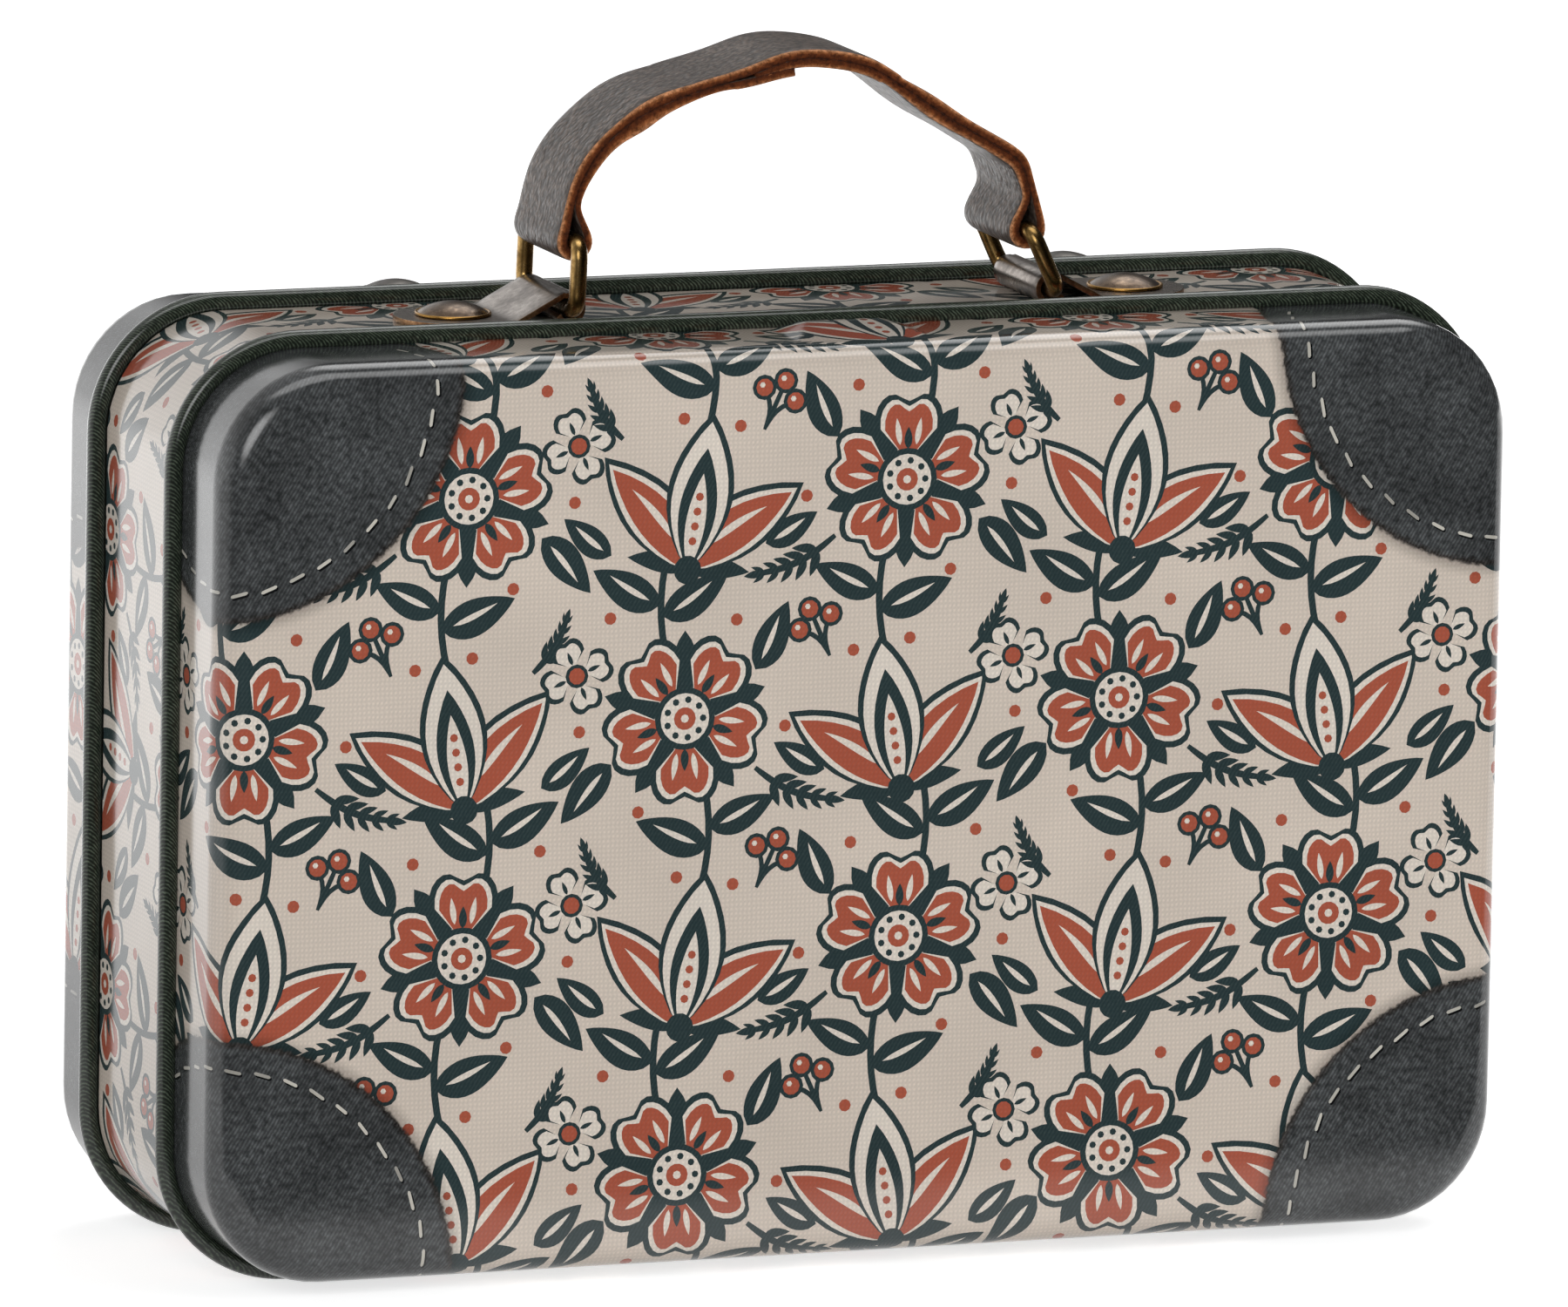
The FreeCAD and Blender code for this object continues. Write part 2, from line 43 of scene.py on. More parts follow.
# Shapes are worked out in millimetres and scaled when a mesh is made; materials and lamps are in metres.
caseForm = {
    "halfWidth": 80.0, "halfHeight": 54.0, "halfDepth": 29.0, "middle": 56.0,
    "coverDepth": 15.0, "cornerRadius": 14.0, "faceRadius": 3.7, "tin": 0.3,
    "beadRadius": 1.15, "beadOffset": 0.85, "rim": 14.0, "bandEdge": 12.7,
    "tabPlace": 46.0, "tabWidth": 14.0, "notchWidth": 15.0,
}


def newObject(name, mesh, materials=()):
    for material in materials:
        mesh.materials.append(material)
    piece = bpy.data.objects.new(name, mesh)
    bpy.context.scene.collection.objects.link(piece)
    return piece


def plainMesh(name, points, faces, smooth=True, edges=()):
    mesh = bpy.data.meshes.new(name)
    mesh.from_pydata([[c * mm for c in point] for point in points], edges, faces)
    if faces:
        mesh.polygons.foreach_set("use_smooth", [smooth] * len(mesh.polygons))
    mesh.update()
    return mesh


def editMesh(mesh, change):
    builder = bmesh.new()
    builder.from_mesh(mesh)
    change(builder)
    builder.to_mesh(mesh)
    builder.free()
    return mesh


def faceOutward(builder):
    bmesh.ops.recalc_face_normals(builder, faces=builder.faces[:])


def bakeModifiers(piece):
    graph = bpy.context.evaluated_depsgraph_get()
    mesh = bpy.data.meshes.new_from_object(piece.evaluated_get(graph), depsgraph=graph)
    piece.modifiers.clear()
    piece.data = mesh
    return piece


def attach(piece, body, node):
    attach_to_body(piece, body)
    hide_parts(node)


def addAttribute(mesh, name, domain, values, kind="FLOAT", field="value"):
    mesh.attributes.new(name, kind, domain).data.foreach_set(field, values)


def gridFaces(rows, count, closed=True, first=0, flip=False):
    # quads between rows of points; a closed row runs back to its own start
    faces = []
    for row in range(rows - 1):
        for k in range(count if closed else count - 1):
            a = first + row * count + k
            b = first + row * count + (k + 1) % count
            faces.append([a, a + count, b + count, b] if flip else [a, b, b + count, a + count])
    return faces


def polar(x, y, angle, reach):
    return (x + reach * math.cos(angle), y + reach * math.sin(angle))


def placed(points, x, y, angle):
    c, s = math.cos(angle), math.sin(angle)
    return [(x + px * c - py * s, y + px * s + py * c) for px, py in points]


def roundedLoop(halfWidth, halfHeight, radius, segments):
    points = []
    for sx, sy, first in ((1, -1, -90), (1, 1, 0), (-1, 1, 90), (-1, -1, 180)):
        for k in range(segments + 1):
            angle = math.radians(first + 90 * k / segments)
            points.append(polar(sx * (halfWidth - radius), sy * (halfHeight - radius), angle, radius))
    return points


def limited(value, low=0.0, high=1.0):
    return max(low, min(high, value))


def linearColour(hexText):
    values = [int(hexText[i:i + 2], 16) / 255 for i in (1, 3, 5)]
    return tuple(v / 12.92 if v <= 0.04045 else ((v + 0.055) / 1.055) ** 2.4 for v in values) + (1.0,)


def addNode(tree, kind, inputs=None, stops=(), **settings):
    node = tree.nodes.new(kind)
    for name, value in settings.items():
        setattr(node, name, value)
    while stops and len(node.color_ramp.elements) < len(stops):
        node.color_ramp.elements.new(0.5)
    for k, (place, colour) in enumerate(stops):
        node.color_ramp.elements[k].position = place
        node.color_ramp.elements[k].color = linearColour(colour)
    for key, value in (inputs or {}).items():
        if isinstance(value, bpy.types.Node):      # a node stands for the first output that it shows
            value = next(socket for socket in value.outputs if socket.enabled)
        if isinstance(value, bpy.types.NodeSocket):
            tree.links.new(value, node.inputs[key])
        else:
            node.inputs[key].default_value = value
    return node


def newMaterial(name):
    material = bpy.data.materials.new(name)
    material.use_nodes = True
    material.node_tree.nodes.clear()
    return material, material.node_tree


# Print on the tin: own generic flowers, drawn as flat shapes in painter's order.
printForm = {
    "columnPitch": 27.0, "rowPitch": 54.0, "shift": (4.0, -16.0), "margin": 24,
    "stemWidth": 0.85, "stemSway": 3.2, "stemSteps": 27,
    "ground": "#D7CABD", "pale": "#E2D8CC", "navy": "#2A393B", "terracotta": "#AB5640",
}
inkColours = {name: linearColour(printForm[name])[:3] for name in ("ground", "pale", "navy", "terracotta")}


def disc(x, y, radius, count=14):
    return [polar(x, y, 2 * math.pi * k / count, radius) for k in range(count)]


def spots(x, y, angle, rows):
    # each row: turn and reach of a disc's middle, its radius, its corners and its ink
    return [(disc(*polar(x, y, angle + aside, reach), radius, count), ink)
            for aside, reach, radius, count, ink in rows]


def drawn(x, y, angle, rows):
    # each row: kind of outline, turn and reach of its foot, its own turn, its sizes and its ink
    return [(outline(*polar(x, y, angle + aside, reach), angle + turn, *sizes), ink)
            for outline, aside, reach, turn, sizes, ink in rows]


def lens(x, y, angle, length, width, bend=0.0, fullness=0.8, count=9):
    # a leaf outline from its foot at x, y, bent sideways by bend
    left, right = [], []
    for k in range(count + 1):
        t = k / count
        half = width / 2 * math.sin(math.pi * t ** fullness) ** 0.85
        drift = bend * t * t
        left.append((t * length, drift + half))
        right.append((t * length, drift - half))
    return placed(right + left[-2:0:-1], x, y, angle)


def ribbon(points, width, taper=0.35):
    # a stem of the given width through the points, thinner at its ends
    left, right = [], []
    last = len(points) - 1
    for k, (x, y) in enumerate(points):
        ahead, behind = points[min(k + 1, last)], points[max(k - 1, 0)]
        dx, dy = ahead[0] - behind[0], ahead[1] - behind[1]
        size = math.hypot(dx, dy) or 1.0
        half = width / 2 * (1 - taper * abs(2 * k / last - 1) ** 3)
        left.append((x - dy / size * half, y + dx / size * half))
        right.append((x + dy / size * half, y - dx / size * half))
    return right + left[::-1]


def arcPoints(x, y, angle, length, bow, count=9):
    places = [(length * k / count, bow * math.sin(math.pi * k / count)) for k in range(count + 1)]
    return placed(places, x, y, angle)


def heading(start, end):
    return math.atan2(end[1] - start[1], end[0] - start[0])


petalForm = {"foot": 0.22, "steps": 7, "notchWidth": 1.7, "rounding": 0.30}


def heartPetal(x, y, angle, radius, spread, notch):
    f = petalForm
    points = [(f["foot"] * radius, 0.0)]
    for k in range(-f["steps"], f["steps"] + 1):
        dent = notch * math.exp(-(k / f["notchWidth"]) ** 2)
        reach = radius * (1 - dent - f["rounding"] * abs(k / f["steps"]) ** 3)
        points.append(polar(0.0, 0.0, spread * k / f["steps"], reach))
    return placed(points, x, y, angle)


roseForm = {
    "sepal": ((lens, 0, 0, math.pi / 5, (10.4, 3.0, 0, 1.5), "navy"),),
    "petal": ((heartPetal, 0, 0, 0, (10.6, 0.60, 0.13), "navy"),
              (heartPetal, 0, 0, 0, (9.9, 0.53, 0.13), "pale"),
              (heartPetal, 0, 0, 0, (9.3, 0.47, 0.14), "terracotta"),
              (lens, -0.24, 4.2, -0.16, (3.2, 0.75), "pale"), (lens, 0.24, 4.2, 0.16, (3.2, 0.75), "pale"),
              (lens, 0, 3.6, 0, (2.6, 1.0), "navy")),
    "eye": ((0, 0, 3.7, 24, "navy"), (0, 0, 3.0, 20, "pale"),
            *((2 * math.pi * k / 9, 2.25, 0.42, 7, "navy") for k in range(9)),
            (0, 0, 1.35, 14, "terracotta"), (0, 0, 0.5, 8, "pale")),
}
tulipForm = {
    "leaves": [row for s in (-1, 1) for row in (
        (lens, 0, 0, s * 1.28, (7.5, 2.7, s * 1.6), "navy"),
        (lens, 0, 0, s * 0.66, (17.0, 7.4, s * 2.6, 0.92), "navy"),
        (lens, 0, 0, s * 0.66, (16.0, 6.2, s * 2.5, 0.92), "pale"),
        (lens, 0, 0, s * 0.66, (15.2, 4.9, s * 2.4, 0.92), "terracotta"),
        (lens, s * 0.6, 4, s * 0.72, (8.0, 0.9, s * 1.2), "pale"))],
    "cup": [(lens, 0, 0, 0, (length, width, 0, 0.95, 11), ink) for length, width, ink in (
        (18.6, 8.2, "navy"), (17.5, 6.9, "pale"), (14.4, 4.6, "navy"), (11.4, 2.4, "pale"))],
    "dots": [(0, 3.4 + 1.75 * k, 0.5, 8, "terracotta") for k in range(4)] + [
        (0, 0, 1.7, 14, "navy"), (-0.2, 17.8, 0.75, 9, "terracotta"), (0.2, 17.8, 0.75, 9, "terracotta")],
}


def roundRose(x, y, turn):
    angles = [turn + 2 * math.pi * k / 5 for k in range(5)]
    shapes = []
    for part in ("sepal", "petal"):
        for angle in angles:
            shapes += drawn(x, y, angle, roseForm[part])
    return shapes + spots(x, y, 0, roseForm["eye"])


def fanTulip(x, y, lean):
    up = math.pi / 2 + lean
    return drawn(x, y, up, tulipForm["leaves"] + tulipForm["cup"]) + spots(x, y, up, tulipForm["dots"])


# The rest of the motifs are drawn in proportion to their own length or radius.
def fernSprig(x, y, angle, length, bow):
    stem = arcPoints(x, y, angle, length, bow, 12)
    shapes = [(ribbon(stem, printForm["stemWidth"]), "navy")]
    for k in range(3, 12, 2):
        way = heading(stem[k - 1], stem[k + 1])
        reach = length * (0.36 - 0.018 * k)
        for side in (-1, 1):
            leaf = lens(*stem[k], way + side * 0.85, reach, reach * 0.36, -side * 0.5, count=6)
            shapes.append((leaf, "navy"))
    tip = lens(*stem[-2], heading(stem[-2], stem[-1]), length * 0.24, length * 0.09, count=6)
    return shapes + [(tip, "navy")]


def berrySprig(x, y, angle, length):
    shapes = []
    for side, reach in ((-0.55, 0.8), (0.0, 1.0), (0.55, 0.8)):
        stem = arcPoints(x, y, angle + side * 0.8, length * reach, -side * 1.2, 6)
        px, py = stem[-1]
        shapes.append((ribbon(stem, 0.6), "navy"))
        shapes += spots(px, py, 0, ((0, 0, 1.5, 12, "navy"), (0, 0, 1.05, 10, "terracotta")))
        shapes.append((disc(px - 0.25, py + 0.3, 0.35, 6), "pale"))
    return shapes


def veinedLeaf(x, y, angle, length, bend):
    vein = (length * 0.62, 0.7, bend * 0.45, 0.8, 6)
    return drawn(x, y, angle, ((lens, 0, 0, 0, (length, length * 0.46, bend, 0.78, 11), "navy"),
                               (lens, 0, 0.16 * length, 0.16 * bend / 1.5, vein, "pale")))


def smallFlower(x, y, turn, radius):
    rows = ((heartPetal, 0, 0, 0, (radius, 0.66, 0.10), "navy"),
            (heartPetal, 0, 0, 0, (radius * 0.87, 0.56, 0.10), "pale"),
            (lens, 0, 0.3 * radius, 0, (radius * 0.36, 0.55, 0, 0.8, 5), "navy"))
    shapes = [shape for k in range(4) for shape in drawn(x, y, turn + math.pi / 2 * k, rows)]
    eye = ((0, 0, radius * 0.30, 12, "navy"), (0, 0, radius * 0.21, 10, "terracotta"))
    return shapes + spots(x, y, 0, eye)


# one repeat: place beside the rose, angle, length and bend of each motif
tileForm = {
    "leaves": ((3.2, 13.6, 0.35, 9.4, 1.2), (3.0, 12.2, 2.75, 9.2, -1.2), (-3.2, 38.8, 0.25, 9.6, 1.0),
               (-3.2, 41.0, 2.85, 8.8, -1.0), (9.0, -5.0, -0.72, 9.0, -1.0), (9.4, 19.6, 0.55, 7.4, 0.8),
               (-9.6, 20.2, 2.75, 7.2, -0.8), (-8.6, 5.4, 2.15, 8.8, -1.0)),
    "ferns": ((-8.8, -6.2, 3.55, 10.5, 0.9), (8.2, 33.2, 1.0, 7.5, -0.6)), "berries": (-9.2, 33.6, 2.0, 6.2),
    "tulipRise": 17.5, "tulipLean": 0.16, "roseTurn": 0.3, "small": (13.4, 5.6, 0.4, 4.7),
    "dots": ((9.4, 12.2), (-12.4, -1.4), (-6.2, 11.4), (13.0, -1.0), (5.6, 43.2)), "dot": (0.75, 9),
}


def printTile(x, y, way):
    # a rose, a tulip above it on a winding stem, and what fills the ground; way is -1 for a mirrored tile
    def turned(angle):
        return angle if way > 0 else math.pi - angle

    f = tileForm
    steps = printForm["stemSteps"]
    stem = []
    for k in range(steps + 1):
        sway = way * printForm["stemSway"] * math.sin(2 * math.pi * k / steps)
        stem.append((x + sway, y + printForm["rowPitch"] * k / steps))
    shapes = [(ribbon(stem, printForm["stemWidth"], 0.0), "navy")]
    for draw, rows in ((veinedLeaf, f["leaves"]), (fernSprig, f["ferns"])):
        for sx, sy, angle, length, bend in rows:
            shapes += draw(x + way * sx, y + sy, turned(angle), length, bend * way)
    sx, sy, angle, length = f["berries"]
    shapes += berrySprig(x + way * sx, y + sy, turned(angle), length)
    shapes += fanTulip(x, y + f["tulipRise"], f["tulipLean"] * way)
    shapes += roundRose(x, y, f["roseTurn"] * way)
    sx, sy, turn, radius = f["small"]
    shapes += smallFlower(x + way * sx, y + sy, turn, radius)
    return shapes + [(disc(x + way * sx, y + sy, *f["dot"]), "terracotta") for sx, sy in f["dots"]]


def printedShapes(left, right, low, high):
    f = printForm
    shapes = []
    firstColumn = math.floor((left - f["margin"]) / f["columnPitch"])
    lastColumn = math.ceil((right + f["margin"]) / f["columnPitch"])
    for column in range(firstColumn, lastColumn + 1):
        odd = column % 2
        drop = f["rowPitch"] / 2 * odd
        firstRow = math.floor((low - f["margin"] - f["rowPitch"] - drop) / f["rowPitch"])
        lastRow = math.ceil((high + f["margin"] - drop) / f["rowPitch"])
        for row in range(firstRow, lastRow + 1):
            x = column * f["columnPitch"] + f["shift"][0]
            y = row * f["rowPitch"] + drop + f["shift"][1]
            for points, ink in printTile(x, y, -1 if odd else 1):
                xs, ys = zip(*points)
                if max(xs) > left and min(xs) < right and max(ys) > low and min(ys) < high:
                    shapes.append((points, ink))
    return shapes


# Corner patches of the covers: printed to look like stitched cloth, round each corner of the sheet.
patchForm = {
    "radius": 29.5, "stitchInset": 3.4, "stitchLength": 2.15, "stitchPitch": 3.6, "stitchWidth": 0.39,
    "stitchTilt": 0.13, "stitchStart": -0.15, "stitchTurn": 1.1, "stray": 0.12, "shadow": (-0.2, 1.3),
    "charcoal": "#3D3F40", "fuzz": "#302D2B", "thread": "#C3BFB5", "threadShadow": "#141617", "seed": 7,
    "foldShifts": (-2.0, -1.0, -0.4, 0.0, 0.5, 1.2, 2.5), "foldSteps": 30, "foldStart": -0.06,
    "foldTurn": 0.62, "overlap": 2.6, "depthLimit": 6.0,
}
threadLevels = {"threadFaded": 0.55, "threadWorn": 0.8, "threadFresh": 1.0}
corners = [(sx, sy) for sx in (-1, 1) for sy in (-1, 1)]


def patchDepth(u, v):
    du, dv = caseForm["halfWidth"] - abs(u), caseForm["halfHeight"] - abs(v)
    return patchForm["radius"] - math.hypot(du, dv)


def patchStitches(reach):
    f = patchForm
    rng = random.Random(f["seed"])
    shapes = []
    radius = f["radius"] - f["stitchInset"]
    step = f["stitchPitch"] / radius
    for sx, sy in corners:
        cx, cy = sx * caseForm["halfWidth"], sy * caseForm["halfHeight"]
        for k in range(int(math.pi * f["stitchTurn"] / step)):
            # the arc runs from one wall over the face to the other wall
            angle = -0.05 * math.pi + f["stitchStart"] + step * k
            px, py = -sx * math.cos(angle), -sy * math.sin(angle)
            tx, ty = sx * math.sin(angle), -sy * math.cos(angle)
            r = radius + rng.uniform(-f["stray"], f["stray"])
            tilt = f["stitchTilt"] * rng.uniform(0.4, 1.6)
            half = f["stitchLength"] / 2 * rng.uniform(0.8, 1.1)
            thread = rng.choice(("threadFresh", "threadFresh", "threadWorn", "threadWorn", "threadFaded"))
            dx, dy = tx + px * tilt, ty + py * tilt
            for shift, width, ink in ((*f["shadow"], "threadShadow"), (0.0, 1.0, thread)):
                w = f["stitchWidth"] / 2 * width
                bx, by = cx + px * r - 0.8 * shift, cy + py * r + shift
                outline = [(-half, -0.45 * w), (-half * 0.8, -w), (half * 0.8, -w), (half, -0.45 * w),
                           (half, 0.45 * w), (half * 0.8, w), (-half * 0.8, w), (-half, 0.45 * w)]
                points = [(bx + a * dx + b * px, by + a * dy + b * py) for a, b in outline]
                if all(abs(x) < reach[0] and abs(y) < reach[1] for x, y in points):
                    shapes.append((points, ink))
    return shapes


def patchArcs():
    # extra lines beside each patch edge, so that its depth is stored finely there
    f = patchForm
    arcs = []
    steps = f["foldSteps"]
    angles = [math.pi * (f["foldStart"] + f["foldTurn"] * k / steps) for k in range(steps + 1)]
    for shift in f["foldShifts"]:
        radius = f["radius"] - shift
        for sx, sy in corners:
            arcs.append([(sx * (caseForm["halfWidth"] - radius * math.cos(a)),
                          sy * (caseForm["halfHeight"] - radius * math.sin(a))) for a in angles])
    return arcs


# Thumb lift pressed into the top wall of the lid, and the grid of lines that carries its shape
liftForm = {
    "width": 16.5, "topWidth": 9.3, "height": 1.0, "front": 4.05, "topFront": 11.45, "back": 13.05,
    "backSlope": 0.45, "swell": 0.12, "gridHalf": 8.6, "gridAcross": 28, "gridAlong": 16, "gridFront": 0.4,
    "gridBack": 0.3,
}


def liftHeight(u, depth):
    f = liftForm
    side = (f["width"] / 2 - abs(u)) / ((f["width"] - f["topWidth"]) / 2)
    front = (depth - f["front"]) / (f["topFront"] - f["front"])
    back = (f["back"] - depth) / f["backSlope"]
    t = limited(min(side, front, back))
    return f["height"] * t * (1 + f["swell"] - f["swell"] * t * t) if t < 1 else f["height"]


coreWidth = caseForm["halfWidth"] - caseForm["faceRadius"]
coreHeight = caseForm["halfHeight"] - caseForm["faceRadius"]
coreRadius = caseForm["cornerRadius"] - caseForm["faceRadius"]
bendLength = caseForm["faceRadius"] * math.pi / 2
sheetReach = bendLength + caseForm["coverDepth"] - caseForm["faceRadius"]


def sheetRow(depth):
    return coreHeight + bendLength + depth - caseForm["faceRadius"]


def liftGrid():
    f = liftForm
    low = sheetRow(f["front"]) - f["gridFront"]
    high = sheetRow(f["back"]) + f["gridBack"]
    half = f["gridHalf"]
    across = [-half + 2 * half * k / f["gridAcross"] for k in range(f["gridAcross"] + 1)]
    along = [low + (high - low) * k / f["gridAlong"] for k in range(f["gridAlong"] + 1)]
    along += [sheetRow(depth) for depth in (f["topFront"], f["back"] - f["backSlope"], f["back"])]
    return [[(u, low), (u, high)] for u in across] + [[(-half, v), (half, v)] for v in along]


def coverPlace(u, v, side, lift=False, inset=0.0):
    # a point of the flat sheet, drawn over the face edge into the wall
    kx = max(abs(u) - (coreWidth - coreRadius), 0.0)
    kz = max(abs(v) - (coreHeight - coreRadius), 0.0)
    far = math.hypot(kx, kz)
    over = far - coreRadius
    bend = caseForm["faceRadius"]
    x, z, depth = u, v, inset
    if over > 0:
        nx, nz = math.copysign(kx / far, u), math.copysign(kz / far, v)
        angle = min(over / bend, math.pi / 2)
        out = (bend - inset) * math.sin(angle)
        depth = bend - (bend - inset) * math.cos(angle) + max(over - bendLength, 0.0)
        if lift and nz > 0.999 and angle > 1.57:
            out += liftHeight(u, depth)
        x, z = u - nx * over + nx * out, v - nz * over + nz * out
    return (-side * x, side * (caseForm["halfDepth"] - depth), caseForm["middle"] + z)


def bandPlace(t, y):
    # t runs round the wall from the middle of the bottom, towards +X first
    r = caseForm["cornerRadius"]
    w, h = caseForm["halfWidth"] - r, caseForm["halfHeight"] - r
    quarter = math.pi * r / 2
    # length, start and way of a straight run; length, middle and first angle of a corner
    runs = [(w, (0, -h - r), (1, 0)), (quarter, (w, -h), -90), (2 * h, (w + r, -h), (0, 1)),
            (quarter, (w, h), 0), (2 * w, (w, h + r), (-1, 0)), (quarter, (-w, h), 90),
            (2 * h, (-w - r, h), (0, -1)), (quarter, (-w, -h), 180), (math.inf, (-w, -h - r), (1, 0))]
    for length, (x, z), way in runs:
        if t <= length:
            break
        t -= length
    if isinstance(way, tuple):
        x, z = x + way[0] * t, z + way[1] * t
    else:
        x, z = polar(x, z, math.radians(way + 90 * t / quarter), r)
    return (x, y, caseForm["middle"] + z)


def printedSheet(name, outline, folds, shapes, place, material, depthAt, bakePlace):
    coords, edges, faces = [], [], []
    inks = ["ground"] + [ink for points, ink in shapes]
    for loop in [outline] + [points for points, ink in shapes]:
        indices = list(range(len(coords), len(coords) + len(loop)))
        coords += [Vector(p) for p in loop]
        area = sum(a[0] * b[1] - b[0] * a[1] for a, b in zip(loop[-1:] + loop[:-1], loop))
        faces.append(indices if area > 0 else indices[::-1])
    for fold in folds:
        first = len(coords)
        coords += [Vector(p) for p in fold]
        edges += [(k, k + 1) for k in range(first, len(coords) - 1)]
    points, _, triangles, _, _, origins = delaunay_2d_cdt(coords, edges, faces, 0, 1e-5)
    kept = [(triangle, inks[max(origin)]) for triangle, origin in zip(triangles, origins) if 0 in origin]
    used = sorted({index for triangle, ink in kept for index in triangle})
    number = {index: k for k, index in enumerate(used)}
    flat = [points[index] for index in used]
    triangles = [[number[index] for index in triangle] for triangle, ink in kept]
    solid, normals = [], []
    step = 0.02
    for p in flat:
        across = Vector(place(p.x + step, p.y)) - Vector(place(p.x - step, p.y))
        up = Vector(place(p.x, p.y + step)) - Vector(place(p.x, p.y - step))
        solid.append(Vector(place(p.x, p.y)))
        normals.append(across.cross(up).normalized())
    a, b, c = (solid[k] for k in triangles[0])
    if (b - a).cross(c - a).dot(normals[triangles[0][0]]) < 0:
        triangles = [triangle[::-1] for triangle in triangles]
    mesh = plainMesh(name, solid, triangles)
    mesh.normals_split_custom_set_from_vertices(normals)
    colours = [value for triangle, ink in kept for value in inkColours.get(ink, (0.0, 0.0, 0.0))]
    addAttribute(mesh, "inkColour", "FACE", colours, "FLOAT_VECTOR", "vector")
    addAttribute(mesh, "threadMask", "FACE", [threadLevels.get(ink, 0.0) for triangle, ink in kept])
    addAttribute(mesh, "threadShadow", "FACE", [float(ink == "threadShadow") for triangle, ink in kept])
    addAttribute(mesh, "patchDepth", "POINT", [depthAt(p.x, p.y) for p in flat])
    sheetMap, bakeMap = [], []
    for triangle in triangles:
        middle = sum((flat[index] for index in triangle), Vector((0, 0))) / 3
        for index in triangle:
            sheetMap += [c * mm for c in flat[index]]
            bakeMap += bakePlace(flat[index], middle)
    mesh.uv_layers.new(name="sheetMap").data.foreach_set("uv", sheetMap)
    mesh.uv_layers.new(name="OFBake").data.foreach_set("uv", bakeMap)
    print(name, "has", len(triangles), "triangles")
    return newObject(name, mesh, [material])


# Lithographed tinplate: offset inks with a fine weave screen under a hard clear varnish, so flat colours
# with a faint cross-hatch, and sharp white reflections at a low angle. The weave is 0.3 mm in the print,
# drawn coarser so that it shows.
tinLook = {
    "thread": 0.00055, "waves": ((0.0, "X", 1.0), (0.0, "Y", 1.0), (0.55, "X", 0.75)), "waver": 1.2,
    "cloud": 0.018, "grain": 0.0007, "rub": 0.010, "ripple": 0.0035, "hatch": "#6E7C7C", "hatchAmount": 0.16,
    "fray": 0.9, "bump": (0.12, 0.00006), "varnish": 0.13,
}


